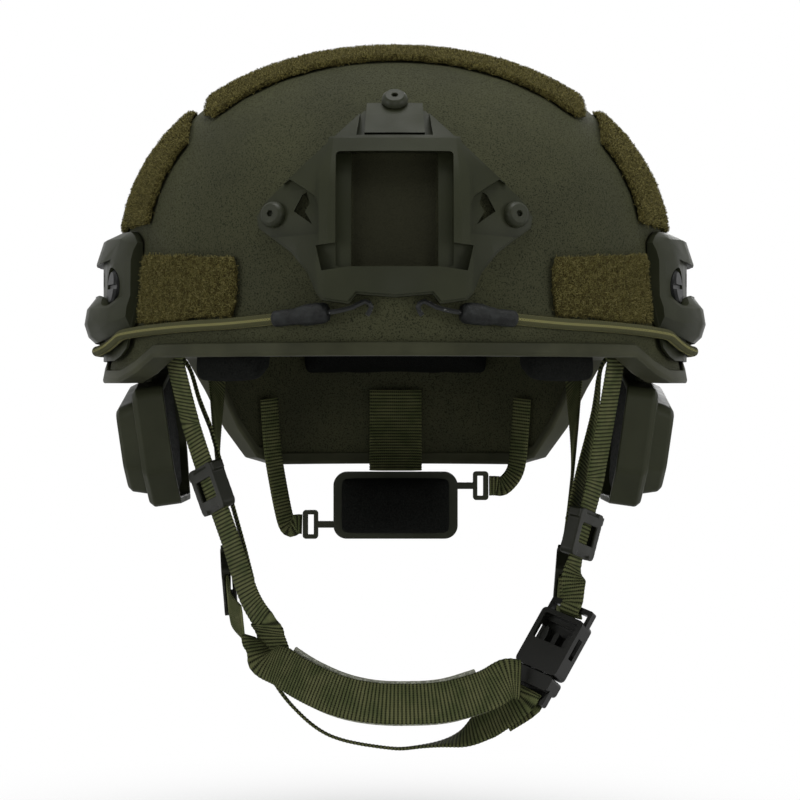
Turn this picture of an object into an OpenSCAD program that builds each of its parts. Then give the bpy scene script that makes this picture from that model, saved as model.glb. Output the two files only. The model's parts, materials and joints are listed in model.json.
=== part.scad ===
// High-cut combat helmet, as worn: composite shell with rubber edge trim, night-vision shroud,
// side rails, stretch cords, hook-and-loop patches, ear covers, pads and a buckled chin harness.
// X points to the wearer's left, Y to the back and Z up. The origin is the middle of the head
// opening, level with the bottom of the front brim.

/* [Shell] */
// Half width of the shell at its waist
shell_half_w = 111; // [106:0.5:117]
// Half length of the shell at its waist
shell_half_l = 131; // [125:0.5:138]
// Rise from the waist to the crown
crown_h = 86; // [80:0.5:92]
// Height of the waist above the front brim
waist_z = 40; // [36:0.5:44]
// Thickness of the shell's wall
shell_wall = 8; // [6:0.5:9]
// Roundness of the crown's section, where 2 is an ellipse
crown_power = 2.15; // [2:0.05:2.4]
// How far the temple flange dips below the front brim
temple_dip = 8; // [4:0.5:11]
// Height of the ear arch above the front brim
ear_rise = 6; // [2:0.5:9]
// How far the nape reaches below the front brim
nape_drop = 44; // [36:0.5:50]
// Side flare of the brim, as a share of the half width
side_flare = 0.08; // [0.05:0.005:0.1]
// Flare of the brim at the forehead, as a share of the half length
front_flare = 0.025; // [0.01:0.005:0.035]
// Flare at the nape, as a share of the half length
nape_flare = 0.01; // [0.005:0.001:0.016]

/* [Edge trim] */
// Thickness of the rubber trim
trim_t = 1.4; // [1:0.1:2]
// Height of the trim's lips on the shell
trim_h = 3.6; // [3:0.1:5]

/* [Shroud] */
// Half width of the shroud at its side screws
shroud_half_w = 52; // [48:0.5:56]
// Height of the shroud's bottom edge
shroud_z = 20; // [18:0.5:23]
// Height of the shroud from its bottom edge to its top lug
shroud_h = 77; // [73:0.5:80]
// Half width of the open window
window_half_w = 16.3; // [14:0.1:17.5]
// Height of the window's opening
window_h = 43.5; // [40:0.5:45]
// Half width of the dovetail recess beside the window
recess_half_w = 22; // [20.5:0.1:23]
// Thickness of the shroud's arms over the shell
arm_t = 6; // [5:0.1:7]
// Thickness of the shroud's frame over the shell
frame_t = 9.4; // [8.5:0.1:11]
// Diameter of the heads of the shroud's screws
shroud_screw_d = 10.2; // [8:0.1:11]

/* [Rails] */
// Angle round the head where a rail starts, from the front
rail_start = 64; // [62:0.5:66]
// Angle round the head where a rail ends
rail_end = 122; // [116:0.5:126]
// Depth of a rail over the shell at its lips
rail_lip_t = 16.6; // [15:0.1:17.5]
// Depth of a rail over the shell at its channel floor
rail_floor_t = 9.8; // [9:0.1:11]
// Height of a rail's top edge
rail_top_z = 51; // [49:0.5:53]
// Diameter of the rail bolts' heads
rail_bolt_d = 14; // [12:0.1:15]

/* [Cords] */
// Diameter of the stretch cords
cord_d = 4.2; // [3.6:0.1:4.6]
// Diameter of the shrunk sleeves on the cords
sleeve_d = 8; // [7:0.1:8.6]
// Diameter of the hooks' wire
hook_wire_d = 2; // [1.6:0.1:2.4]

/* [Patches and pads] */
// Thickness of the hook-and-loop patches
patch_t = 2.6; // [2:0.1:3.2]
// Height of the front patches' bottom edge
front_patch_z = 15; // [14.5:0.5:16]
// Height of the front patches
front_patch_h = 26; // [24:0.5:30]
// Thickness of the pads at their middle
pad_t = 18; // [14:0.5:20]
// Thickness of the pads at their drawn-in edges
pad_edge_t = 12; // [9:0.5:13]

/* [Ear covers] */
// Half length of an ear cover, front to back
cover_half_l = 46; // [42:0.5:48]
// How far an ear cover reaches below the front brim
cover_drop = 59; // [54:0.5:62]
// How far an ear cover's inner edge lies inside the shell's widest face
cover_inset = 17.5; // [16:0.5:20]
// Depth of an ear cover's body
cover_body_t = 13; // [11:0.5:14]
// Depth of the raised panel on an ear cover
cover_panel_t = 8; // [6:0.5:9]
// Thickness of an ear cover's wall
cover_wall = 2.5; // [2:0.1:3]
// Thickness of the foam in an ear cover
foam_t = 8; // [6:0.5:9]

/* [Harness] */
// Width of the webbing
web_w = 16; // [15:0.5:17]
// Thickness of the webbing
web_t = 1.5; // [1.2:0.1:1.8]
// How far the chin band hangs below the front brim
chin_drop = 133; // [128:0.5:137]
// How far the chin band stands in front of the middle of the head
chin_reach = 100; // [96:0.5:104]
// How far the strap under the chin hangs below the front brim
under_drop = 154; // [150:0.5:157]
// Width of the buckle
buckle_w = 20.5; // [20:0.5:22]
// Thickness of the buckle
buckle_t = 8; // [7.6:0.1:9]
// Length of the buckle's socket
socket_l = 24.5; // [23.5:0.5:26]
// Depth that the plug's prongs reach into the socket
prong_l = 19.5; // [18:0.5:20]
// Gap between the prongs and the socket's walls
prong_gap = 1.2; // [1:0.1:1.3]
// Length of a strap slider
slider_l = 19; // [17:0.5:21]
// Width of a strap slider's frame beside the webbing
slider_side = 2.6; // [2:0.1:3]

/* [Fit dial] */
// Diameter of the dial's knob
knob_d = 28; // [25:0.5:29]
// Depth of the dial's knob
knob_t = 9; // [8:0.5:10]
// Height of the dial's axle below the front brim
dial_drop = 64; // [62.5:0.5:67]
// Teeth on the dial's pinion
pinion_teeth = 12; // [12:1:14]
// Size of the teeth, as pitch diameter for each tooth
tooth_size = 1; // [0.9:0.05:1.1]
// Length of a rack
rack_l = 66; // [62:1:70]

/* [Clearances] */
// Gap between a piece and the surface that it is seated on
seat_gap = 0.3; // [0.2:0.05:0.4]
// Gap round a piece that slides
slide_gap = 0.6; // [0.5:0.05:0.8]

/* [Hidden] */
$fn = 48;

olive = "#3a3b2a";
olive_smooth = "#3d3e2c";
olive_dark = "#2f3122";
patch_green = "#5a5330";
cord_green = "#6b6a45";
web_green = "#454829";
black = "#1c1d1c";

// Eased lookup: the curve through knots of [angle, value], level at each knot
function ease(u) = u * u * (3 - 2 * u);
function eased(x, k, i = 0) =
    x <= k[0][0] ? k[0][1]
    : i >= len(k) - 1 ? k[len(k) - 1][1]
    : x > k[i + 1][0] ? eased(x, k, i + 1)
    : k[i][1] + (k[i + 1][1] - k[i][1]) * ease((x - k[i][0]) / (k[i + 1][0] - k[i][0]));

function unit(v) = v / norm(v);
function mix(a, b, u) = a + (b - a) * u;
function steps(from, to, n) = [for (i = [0:n]) mix(from, to, i / n)];
function flip(p) = [-p[0], p[1], p[2]];
function flat(rows) = [for (r = rows) each r];

// The shell's outer face. t is the angle round the head from the front, positive to +X,
// and g is a distance outside the face.
flare_span = 48;
front_rim_z = trim_t + seat_gap;
rim_knots = [
    [0, front_rim_z], [54, front_rim_z], [64, -temple_dip], [80, -temple_dip], [91, ear_rise], [122, ear_rise],
    [148, -nape_drop], [180, -nape_drop],
];
function rim_z(t) = eased(abs(t), rim_knots);
function flare(t) =
    cos(t) > 0 ? mix(front_flare, side_flare, pow(sin(t), 2)) : mix(nape_flare, side_flare, pow(sin(t), 6));
function swell(t, z, g) =
    z <= waist_z ? 1 + flare(t) * pow((waist_z - z) / flare_span, 2)
    : pow(max(0, 1 - pow((z - waist_z) / (crown_h + g), crown_power)), 1 / crown_power);
function at_z(t, z, g = 0) =
    let (s = swell(t, z, g))
    [(shell_half_w + g) * s * sin(t), -(shell_half_l + g) * s * cos(t), z];
// The same face by rise: 0 at the rim, 1 at the waist and 2 at the crown
function at_rise(t, v, g = 0) =
    v <= 1 ? at_z(t, mix(rim_z(t), waist_z, v), g)
    : let (c = pow(cos((v - 1) * 90), 2 / crown_power), s = pow(sin((v - 1) * 90), 2 / crown_power))
    [(shell_half_w + g) * c * sin(t), -(shell_half_l + g) * c * cos(t), waist_z + (crown_h + g) * s];
// The crown's height over a point of the plan, and the side's distance out at a height
function crown_z(x, y, g) =
    let (r = norm([x / (shell_half_w + g), y / (shell_half_l + g)]))
    waist_z + (crown_h + g) * pow(1 - pow(r, crown_power), 1 / crown_power);
function side_x(y, z, g) =
    let (s = swell(90, z, g), f = y / (shell_half_l + g))
    (shell_half_w + g) * sqrt(pow(s, 2) - pow(f, 2));
function angle_at(x, z) = asin(x / (shell_half_w * swell(0, z, 0)));
// The outward normal of the shell at a place
function out_dir(t, z) =
    unit(cross(at_z(t + 1, z) - at_z(t - 1, z), at_z(t, z + 1) - at_z(t, z - 1)));

// Triangles of a grid of points, and the closed solid between two grids
function grid_faces(rows, cols, base, turn) = [
    for (r = [0:rows - 2], c = [0:cols - 2])
    let (a = base + r * cols + c, b = a + 1, d = a + cols, e = d + 1)
    each turn ? [[a, b, d], [b, e, d]] : [[a, d, b], [b, d, e]]
];
function strip_faces(a, b) = [
    for (i = [0:len(a) - 2])
    each [[a[i], b[i], a[i + 1]], [a[i + 1], b[i], b[i + 1]]]
];
module between(outer, inner) {
    rows = len(outer);
    cols = len(outer[0]);
    n = rows * cols;
    low = [for (c = [0:cols - 1]) c];
    high = [for (c = [0:cols - 1]) (rows - 1) * cols + c];
    first = [for (r = [0:rows - 1]) r * cols];
    last = [for (r = [0:rows - 1]) r * cols + cols - 1];
    faces = concat(
        grid_faces(rows, cols, 0, false),
        grid_faces(rows, cols, n, true),
        strip_faces([for (i = low) i + n], low),
        strip_faces(high, [for (i = high) i + n]),
        strip_faces(first, [for (i = first) i + n]),
        strip_faces([for (i = last) i + n], last)
    );
    polyhedron(concat(flat(outer), flat(inner)), faces);
}

// A solid swept through rings of equal count, capped at its ends or closed on itself
module sweep(rings, closed = false) {
    n = len(rings);
    m = len(rings[0]);
    last_ring = closed ? n - 1 : n - 2;
    skin = [
        for (i = [0:last_ring], j = [0:m - 1])
        let (k = (j + 1) % m, a = i * m + j, b = i * m + k, d = ((i + 1) % n) * m + j, e = d - j + k)
        each [[a, b, d], [b, e, d]]
    ];
    caps = closed ? [] : [
        for (j = [1:m - 2]) each [[0, j + 1, j], [(n - 1) * m, (n - 1) * m + j, (n - 1) * m + j + 1]]
    ];
    polyhedron(flat(rings), concat(skin, caps));
}

// A ring's points the other way round
function turned(ring) = [for (i = [len(ring) - 1:-1:0]) ring[i]];

// Points along a smooth curve through p, with n steps a span
function bend(p, i, u) =
    let (a = p[max(i - 1, 0)], b = p[i], c = p[i + 1], d = p[min(i + 2, len(p) - 1)])
    0.5 * (2 * b + (c - a) * u + (2 * a - 5 * b + 4 * c - d) * u * u + (3 * b - a - 3 * c + d) * u * u * u);
function curve(p, n) = [for (i = [0:len(p) - 2], k = [0:n - 1]) bend(p, i, k / n), p[len(p) - 1]];
function heading(p, i) = unit(p[min(i + 1, len(p) - 1)] - p[max(i - 1, 0)]);

// A round cord along points
module cord_solid(p, d, sides = 8) {
    sweep([
        for (i = [0:len(p) - 1])
        let (h = heading(p, i), u = unit(cross(h, [0, 0, 1])), v = cross(u, h))
        [for (k = [0:sides - 1]) p[i] + (u * cos(k * 360 / sides) + v * sin(k * 360 / sides)) * d / 2]
    ]);
}

// Webbing along points, with the direction of its width at each point
module webbing(p, across, w = web_w, t = web_t) {
    sweep([
        for (i = [0:len(p) - 1])
        let (h = heading(p, i), n = unit(cross(h, across[i])), a = unit(cross(n, h)))
        [p[i] + a * w / 2 + n * t / 2, p[i] + a * w / 2 - n * t / 2,
         p[i] - a * w / 2 - n * t / 2, p[i] - a * w / 2 + n * t / 2]
    ]);
}

// Everything inside becomes one mesh, which suits free-form pieces with cuts in them
module as_mesh() resize([0, 0, 0]) children();

// Places children on the shell with +Z along its outward normal and +Y uphill
module on_shell(t, z, g = 0) {
    n = out_dir(t, z);
    u = unit(cross([0, 0, 1], n));
    v = cross(n, u);
    p = at_z(t, z) + n * g;
    multmatrix([
        [u[0], v[0], n[0], p[0]], [u[1], v[1], n[1], p[1]], [u[2], v[2], n[2], p[2]], [0, 0, 0, 1],
    ]) children();
}

// Shell
shell_cols = 60;
rise_rows = concat(steps(0, 1, 4), [for (i = [1:11]) 1 + i / 12]);
function shell_ring(v, g) = [for (c = [0:shell_cols - 1]) at_rise(c * 360 / shell_cols - 180, v, g)];
module dome(outer_g, inner_g) {
    n = len(rise_rows);
    m = shell_cols;
    rings = [for (g = [outer_g, inner_g], v = rise_rows) shell_ring(v, g)];
    poles = [[0, 0, waist_z + crown_h + outer_g], [0, 0, waist_z + crown_h + inner_g]];
    function wall(r, base, turn) = [
        for (c = [0:m - 1])
        let (a = base + r * m + c, b = base + r * m + (c + 1) % m, d = a + m, e = b + m)
        each turn ? [[a, d, b], [b, d, e]] : [[a, b, d], [b, e, d]]
    ];
    faces = concat(
        [for (r = [0:n - 2]) each wall(r, 0, true)],
        [for (r = [0:n - 2]) each wall(r, n * m, false)],
        [for (c = [0:m - 1]) [(n - 1) * m + c, 2 * n * m, (n - 1) * m + (c + 1) % m]],
        [for (c = [0:m - 1]) [(2 * n - 1) * m + c, (2 * n - 1) * m + (c + 1) % m, 2 * n * m + 1]],
        [
            for (c = [0:m - 1])
            let (d = (c + 1) % m)
            each [[c, d, n * m + c], [d, n * m + d, n * m + c]]
        ]
    );
    polyhedron(concat(flat(rings), poles), faces);
}
module shell() {
    color(olive) dome(0, -shell_wall);
}

// Rubber trim round the shell's edge, a U in section
module edge_trim() {
    out = seat_gap + trim_t;
    color(olive_dark) sweep([
        for (c = [0:shell_cols - 1])
        let (t = c * 360 / shell_cols - 180, z = rim_z(t), i = -shell_wall)
        turned([
            at_z(t, z + trim_h, out), at_z(t, z - seat_gap, out), at_z(t, z - out, out / 2),
            at_z(t, z - out, i - out / 2), at_z(t, z - seat_gap, i - out), at_z(t, z + trim_h, i - out),
            at_z(t, z + trim_h, i - seat_gap), at_z(t, z - seat_gap, i - seat_gap),
            at_z(t, z - seat_gap, seat_gap), at_z(t, z + trim_h, seat_gap),
        ])
    ], true);
}

// Shroud: a frame round an open window, with two arms, a top lug and screw seats
shroud_top_z = shroud_z + shroud_h;
window_z = shroud_z + 13;
screw_seat_x = shroud_half_w - 8;
screw_seat_z = shroud_z + 32.5;
lug_half_w = 11.4;
outline_half = [
    [0, 1.6], [14, 2.8], [17, -0.8], [27, 0.6], [29.4, 3.4], [32.5, 11], [38.5, 18.5],
    [shroud_half_w - 0.7, 28.4], [shroud_half_w, 32.6], [shroud_half_w - 2.6, 37.2], [39.8, 46.6],
    [11.6, 73.6], [0, 73.6],
];
function mirrored(h) = concat(h, [for (i = [len(h) - 2:-1:1]) [-h[i][0], h[i][1]]]);
frame_half = [
    [0, 1.6], [14, 2.8], [17, -0.8], [27, 0.6], [29.4, 3.4], [30.5, 14], [29, 24], [29, 48],
    [24.5, 62.5], [0, 62.5],
];
seat_cut = [
    [28.6, 25.4], [28.6, 37], [30, 40], [33.4, 42.4], [39.4, 46.4], [62, 30], [52, 26.4], [45, 24.4],
];
corner_cut = [[recess_half_w - 1, 22], [29.4, 21], [27.2, 11.6], [16.3, 13.1], [recess_half_w - 1, 16]];
// A symmetric four-sided outline, from its lower half width to its upper one
function tapered(low_w, high_w, low, high) = [[-low_w, low], [low_w, low], [high_w, high], [-high_w, high]];
arrow_cut = [[33, 41.4], [31.8, 37.2], [33.6, 34], [30.8, 29.2], [37.8, 34.2], [34.6, 40.4]];

// A flat outline in the front view, cut to the space between two faces of the shell
module front_slab(from, to) {
    intersection() {
        translate([0, -shell_half_l / 2, shroud_z]) rotate([90, 0, 0]) linear_extrude(shell_half_l)
            children();
        front_dome(from, to);
    }
}
// The front part of a shell that lies between two distances outside the face
module front_dome(from, to) {
    cols = [for (i = [-5:5]) i * 360 / shell_cols];
    rows = steps(shroud_z - 6, shroud_top_z + 4, 9);
    between(
        [for (z = rows) [for (t = cols) at_z(t, z, to)]],
        [for (z = rows) [for (t = cols) at_z(t, z, from)]]
    );
}
module shroud() {
    color(olive_smooth) as_mesh() difference() {
        union() {
            front_slab(seat_gap, arm_t - 1.2) polygon(mirrored(outline_half));
            front_slab(arm_t - 1.5, arm_t) offset(delta = -0.9) polygon(mirrored(outline_half));
            front_slab(arm_t - 1.5, frame_t - 1.2) polygon(mirrored(frame_half));
            front_slab(frame_t - 1.5, frame_t) offset(delta = -0.9) polygon(mirrored(frame_half));
        }
        // Recess for the night-vision mount, its open window and the flared lower corners
        front_slab(arm_t - 2.4, frame_t + 3) offset(1.6) offset(-1.6)
            translate([-recess_half_w, window_z - shroud_z])
            square([2 * recess_half_w, window_h]);
        front_slab(-1, frame_t + 3) translate([-window_half_w, window_z - shroud_z])
            square([2 * window_half_w, window_h]);
        for (m = [0, 1]) mirror([m, 0, 0]) {
            front_slab(arm_t - 1, frame_t + 3) polygon(corner_cut);
            front_slab(arm_t - 2.6, frame_t + 3) polygon(seat_cut);
            front_slab(-1, frame_t) polygon(arrow_cut);
        }
        // Seat of the top lug
        front_slab(arm_t - 4.2, frame_t + 3)
            polygon(tapered(lug_half_w + 3, lug_half_w + 0.8, 63.2, 78));
    }
    color(olive_smooth) as_mesh() {
        front_slab(seat_gap, arm_t - 4.2)
            polygon(tapered(lug_half_w, lug_half_w - 1, 64.6, 77));
        front_slab(arm_t - 4.4, arm_t + 0.6)
            polygon(tapered(lug_half_w, lug_half_w - 0.8, 64, 76));
    }
}

// Screws with flanged heads and hexagon sockets
module shroud_screw() {
    difference() {
        union() {
            cylinder(h = 1.6, d1 = shroud_screw_d, d2 = shroud_screw_d - 0.8);
            translate([0, 0, 1.6]) cylinder(h = 1.2, d1 = shroud_screw_d - 0.8, d2 = shroud_screw_d * 0.7);
        }
        translate([0, 0, 1]) cylinder(h = 3, d = 2.6, $fn = 6);
    }
}
module shroud_screws() {
    color(olive_smooth) {
        for (x = [-screw_seat_x, screw_seat_x])
            on_shell(angle_at(x, screw_seat_z), screw_seat_z, arm_t - 2.6 + seat_gap) shroud_screw();
        on_shell(0, shroud_z + 72, arm_t + 0.6 + seat_gap) shroud_screw();
    }
}

// Rails: a dovetail channel along each side, with a lower skirt that the cord lies against
rail_span = rail_end - rail_start;
rail_stations = concat([0, 2, 5], steps(11, rail_span - 4, 7), [rail_span - 1.5, rail_span]);
rail_rest = 0.6;
// A rail thickens over this angle behind its front end
front_ramp = 11;
skirt_z = -0.8;
// The inner face rests on the shell, and stands off below, where the edge trim passes
function rail_in(t, z, off = rail_rest) = at_z(t, z, off);
trim_relief = trim_t + 2 * seat_gap;
// A rail's surface lies at a distance outside the plain, unflared side
function rail_out(t, z, g) =
    let (s = min(1, swell(t, z, 0)), h = swell(t, max(z, rim_z(t)), 0))
    [max((shell_half_w + g) * s, (shell_half_w + trim_relief + 1) * h) * sin(t),
     -max((shell_half_l + g) * s, (shell_half_l + trim_relief + 1) * h) * cos(t), z];
// Towards the front the lower lip rises and the skirt thins, and the cord runs under the lip
function front_fade(t) = 1 - min(1, max(0, t - rail_start) / 10);
function lip_low(t) = 6.6 + 6 * front_fade(t);
function skirt_g(t) = mix(rail_floor_t, 3, front_fade(t));
function rail_end_shrink(i, n) = i == 0 || i == n - 1 ? 5 : i == 1 || i == n - 2 ? 2 : 0;
function rail_ring(t, k, shrink) =
    let (top = rail_top_z - shrink, low = skirt_z + shrink, lip = lip_low(t))
    [
        rail_in(t, top), rail_out(t, top, 4 * k), rail_out(t, top - 3, 10 * k),
        rail_out(t, 39, (rail_lip_t - 4) * k), rail_out(t, 25, (rail_lip_t - 3.6) * k),
        rail_out(t, 20.4, rail_lip_t * k), rail_out(t, max(14.3, lip + 4), (rail_lip_t + 1) * k),
        rail_out(t, lip + 2.6, (rail_lip_t - 0.6) * k), rail_out(t, lip, (rail_lip_t - 3.4) * k),
        rail_out(t, lip - 0.4, skirt_g(t)), rail_out(t, low, skirt_g(t)), rail_in(t, low, trim_relief),
        rail_in(t, 12, trim_relief), rail_in(t, 15), rail_in(t, 33),
    ];
channel_low_z = 25.6;
channel_high_z = 38.4;
undercut = 1.6;
module rail_solid() {
    n = len(rail_stations);
    difference() {
        sweep([
            for (i = [0:n - 1])
            let (d = rail_stations[i], k = 0.45 + 0.55 * min(1, d / front_ramp, (rail_span - d) / 5))
            turned(rail_ring(rail_start + d, k, rail_end_shrink(i, n)))
        ]);
        // The dovetail channel, open through the rail's back end
        sweep([
            for (t = steps(rail_start + 5, rail_end + 2, 10))
            turned([
                rail_out(t, channel_high_z, rail_lip_t + 6), rail_out(t, channel_low_z, rail_lip_t + 6),
                rail_out(t, channel_low_z, rail_lip_t - 4),
                rail_out(t, channel_low_z - undercut, rail_floor_t),
                rail_out(t, channel_high_z + undercut, rail_floor_t),
                rail_out(t, channel_high_z, rail_lip_t - 4),
            ])
        ]);
        for (t = rail_bolt_angles)
            on_shell(t, rail_bolt_z, bolt_seat_g)
            cylinder(h = 12, d = rail_bolt_d + 2 * seat_gap + 1, $fn = 24);
        // Lightening slots between the bolts
        for (i = [1:3])
            on_shell(mix(rail_bolt_angles[0], rail_bolt_angles[1], i / 4), 32, -4)
            linear_extrude(40) offset(1.5, $fn = 12) square([9, 3], center = true);
    }
}
rail_bolt_angles = [rail_start + 6.5, rail_end - 8];
rail_bolt_z = 28;
bolt_seat_g = 6.6;
module rail_left() {
    color(olive_smooth) as_mesh() union() {
        rail_solid();
        cord_lug();
    }
}
module rail_right() {
    mirror([1, 0, 0]) rail_left();
}
module rail_bolts() {
    color(black) for (m = [0, 1], t = rail_bolt_angles)
        mirror([m, 0, 0]) on_shell(t, rail_bolt_z, bolt_seat_g + seat_gap) difference() {
            union() {
                cylinder(h = 1.6, d = rail_bolt_d, $fn = 32);
                translate([0, 0, 1.6]) cylinder(h = 1, d1 = rail_bolt_d, d2 = rail_bolt_d - 2, $fn = 32);
            }
            translate([0, 0, 2.6]) cube([rail_bolt_d + 2, 1.8, 2.4], center = true);
        }
}

// Stretch cords from a lug on the rail's skirt to a hook under the shroud
cord_r = cord_d / 2;
cord_lug_t = rail_start + 36;
// Angle, height and distance of the cord's middle from the shell, from the hook to the rail
sleeve_stand = sleeve_d / 2 + seat_gap;
cord_stand = cord_r + seat_gap + 0.4;
cord_plan = [
    [13.8, 15.8, sleeve_stand], [24, 13.6, sleeve_stand], [33, 12.4, cord_stand], [44, 11.7, cord_stand],
    [54, 10.9, cord_stand], [60, 10.1, cord_stand + 1.6],
];
function cord_z(t) = lip_low(t) - cord_r - 1;
function cord_on_rail(t) =
    rail_out(t, cord_z(t), skirt_g(t))
    + (cord_r + seat_gap + 0.2) * unit([shell_half_l * sin(t), -shell_half_w * cos(t), 0]);
cord_path = concat(
    [for (p = cord_plan) at_z(p[0], p[1], p[2])],
    [for (d = [0.5, 3, 7, 11, 20, 28]) cord_on_rail(rail_start + d)],
    [cord_on_rail(cord_lug_t)]
);
module cord_left() {
    color(cord_green) cord_solid(curve(cord_path, 3), cord_d);
}
module cord_right() {
    mirror([1, 0, 0]) cord_left();
}
// The lug is a short sleeve that holds the cord's end
module cord_lug() {
    a = cord_on_rail(cord_lug_t);
    b = cord_on_rail(cord_lug_t + 5);
    h = unit(b - a);
    cord_solid([a + h * seat_gap, a + h * 8], cord_d + 1.6, 12);
}
sleeve_l = 22;
sleeve_axis = unit(cord_path[1] - cord_path[0]);
sleeve_tip = cord_path[0] - sleeve_axis * 3;
// The sleeve is fat at the hook and shrunk onto the cord at its other end
module sleeve_left() {
    u = unit(cross(sleeve_axis, [0, 0, 1]));
    v = cross(u, sleeve_axis);
    function ring(at, d) =
        [for (k = [0:11]) sleeve_tip + sleeve_axis * at + (u * cos(k * 30) + v * sin(k * 30)) * d / 2];
    bore = cord_d + 2 * seat_gap + 0.4;
    thin = bore + 1.2;
    color(black) as_mesh() difference() {
        sweep([
            ring(0, sleeve_d - 1), ring(1, sleeve_d), ring(9, sleeve_d - 0.4), ring(13, thin + 0.4),
            ring(sleeve_l, thin),
        ]);
        cord_solid([cord_path[0] - sleeve_axis * 0.3, sleeve_tip + sleeve_axis * (sleeve_l + 2)], bore, 12);
    }
}
module sleeve_right() {
    mirror([1, 0, 0]) sleeve_left();
}
// Wire hook that catches the shroud's bottom edge
module hook_left() {
    tip = sleeve_tip - sleeve_axis * seat_gap;
    reach = hook_wire_d / 2 + seat_gap + 0.2;
    path = [
        tip, tip - sleeve_axis * 3, at_z(8, shroud_z - 2, reach + 0.6), at_z(5.6, shroud_z + 0.3, reach),
        at_z(4.4, shroud_z - 1.8, reach), at_z(5.2, shroud_z - 5, reach),
    ];
    color(black) cord_solid(curve(path, 2), hook_wire_d, 6);
}
module hook_right() {
    mirror([1, 0, 0]) hook_left();
}

// Hook-and-loop patches, which follow the shell with clipped corners
clip = 0.05;
patch_seat = seat_gap + 0.2;
function corner_pull(u) = u <= 0 || u >= 1 ? clip : 0;
function patch_uv(n, m) = [
    for (i = [0:n]) [for (j = [0:m]) let (k = corner_pull(i / n)) [mix(k * 0.5, 1 - k * 0.5, j / m), i / n]]
];
module front_patch() {
    uv = patch_uv(5, 6);
    // The lower edge falls with the cord and the upper edge rises towards the rail
    function low(u) = front_patch_z - 1.8 * u;
    function high(u) = low(u) + front_patch_h - 3.2 + 5.2 * u;
    function at(p, g) = at_z(-mix(32, rail_start - 2, p[0]), mix(low(p[0]), high(p[0]), p[1]), g);
    between(
        [for (r = uv) [for (p = r) at([1 - p[0], p[1]], patch_t + patch_seat)]],
        [for (r = uv) [for (p = r) at([1 - p[0], p[1]], patch_seat)]]
    );
}
module patch_front_right() {
    color(patch_green) front_patch();
}
module patch_front_left() {
    mirror([1, 0, 0]) patch_front_right();
}
crown_front_y = -64;
crown_back_y = 46;
crown_half_x = 76;
side_low_z = rail_top_z + 2;
side_back_y = 34;
module patch_crown() {
    n = 10;
    ys = steps(crown_front_y, crown_back_y, n);
    function half_x(i) = crown_half_x * (i == 0 || i == n ? 0.95 : 1);
    function grid(g) = [
        for (i = [0:n]) [for (x = steps(-half_x(i), half_x(i), 14)) [x, ys[i], crown_z(x, ys[i], g)]]
    ];
    color(patch_green) between(grid(patch_t + patch_seat), grid(patch_seat));
}
module patch_side_left() {
    // The upper edge runs along the crown patch, a small gap away
    function top_z(y) = crown_z(crown_half_x + 4, y, 0);
    function grid(g) = [
        for (v = steps(0, 1, 5)) [
            for (y = steps(crown_front_y, side_back_y, 8))
            let (z = mix(side_low_z, top_z(y), v))
            [side_x(y, z, g), y, z]
        ]
    ];
    color(patch_green) between(grid(patch_t + patch_seat), grid(patch_seat));
}
module patch_side_right() {
    mirror([1, 0, 0]) patch_side_left();
}
module patch_rear() {
    uv = patch_uv(6, 10);
    function at(p, g) = at_z(mix(150, 210, p[0]), mix(10, 58, p[1]), g);
    color(patch_green) between(
        [for (r = uv) [for (p = r) at(p, patch_t + patch_seat)]],
        [for (r = uv) [for (p = r) at(p, patch_seat)]]
    );
}

// Ear covers: a hollow moulded cup with a raised panel, lined with foam and hung from the shell
cover_inner_x = shell_half_w - cover_inset;
cover_top_z = -11;
cover_back_z = 1;
cover_lean = 8;
// Corners of a convex outline, moved in by a distance, and the outline with its corners rounded
function inset_corner(p, i, d) =
    let (
        n = len(p), a = p[(i + n - 1) % n], b = p[i], c = p[(i + 1) % n],
        u = unit(b - a), v = unit(c - b), m = [-u[1], u[0]], k = [-v[1], v[0]]
    )
    b + (m + k) * d / (1 + m * k);
function inset_outline(p, d) = [for (i = [0:len(p) - 1]) inset_corner(p, i, d)];
function rounded_outline(p, r, n = 4) = [
    for (i = [0:len(p) - 1])
    let (
        m = len(p), a = p[(i + m - 1) % m], b = p[i], c = p[(i + 1) % m], o = inset_corner(p, i, r),
        from = atan2(b[0] - a[0], -(b[1] - a[1])) + 180, turn = atan2(cross(b - a, c - b), (b - a) * (c - b))
    )
    for (k = [0:n]) o + r * [cos(from + turn * k / n), sin(from + turn * k / n)]
];
cover_corners = [
    [cover_half_l - 2, cover_back_z], [-cover_half_l, cover_top_z], [-cover_half_l + 2, -cover_drop + 14],
    [-cover_half_l + 16, -cover_drop], [cover_half_l - 22, -cover_drop], [cover_half_l, -cover_drop + 22],
];
// The cover's outline at a distance outside its inner edge
function cover_ring(depth, inset) = [
    for (q = rounded_outline(inset_outline(cover_corners, inset), 5)) [cover_inner_x + depth, q[0], q[1]]
];
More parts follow.
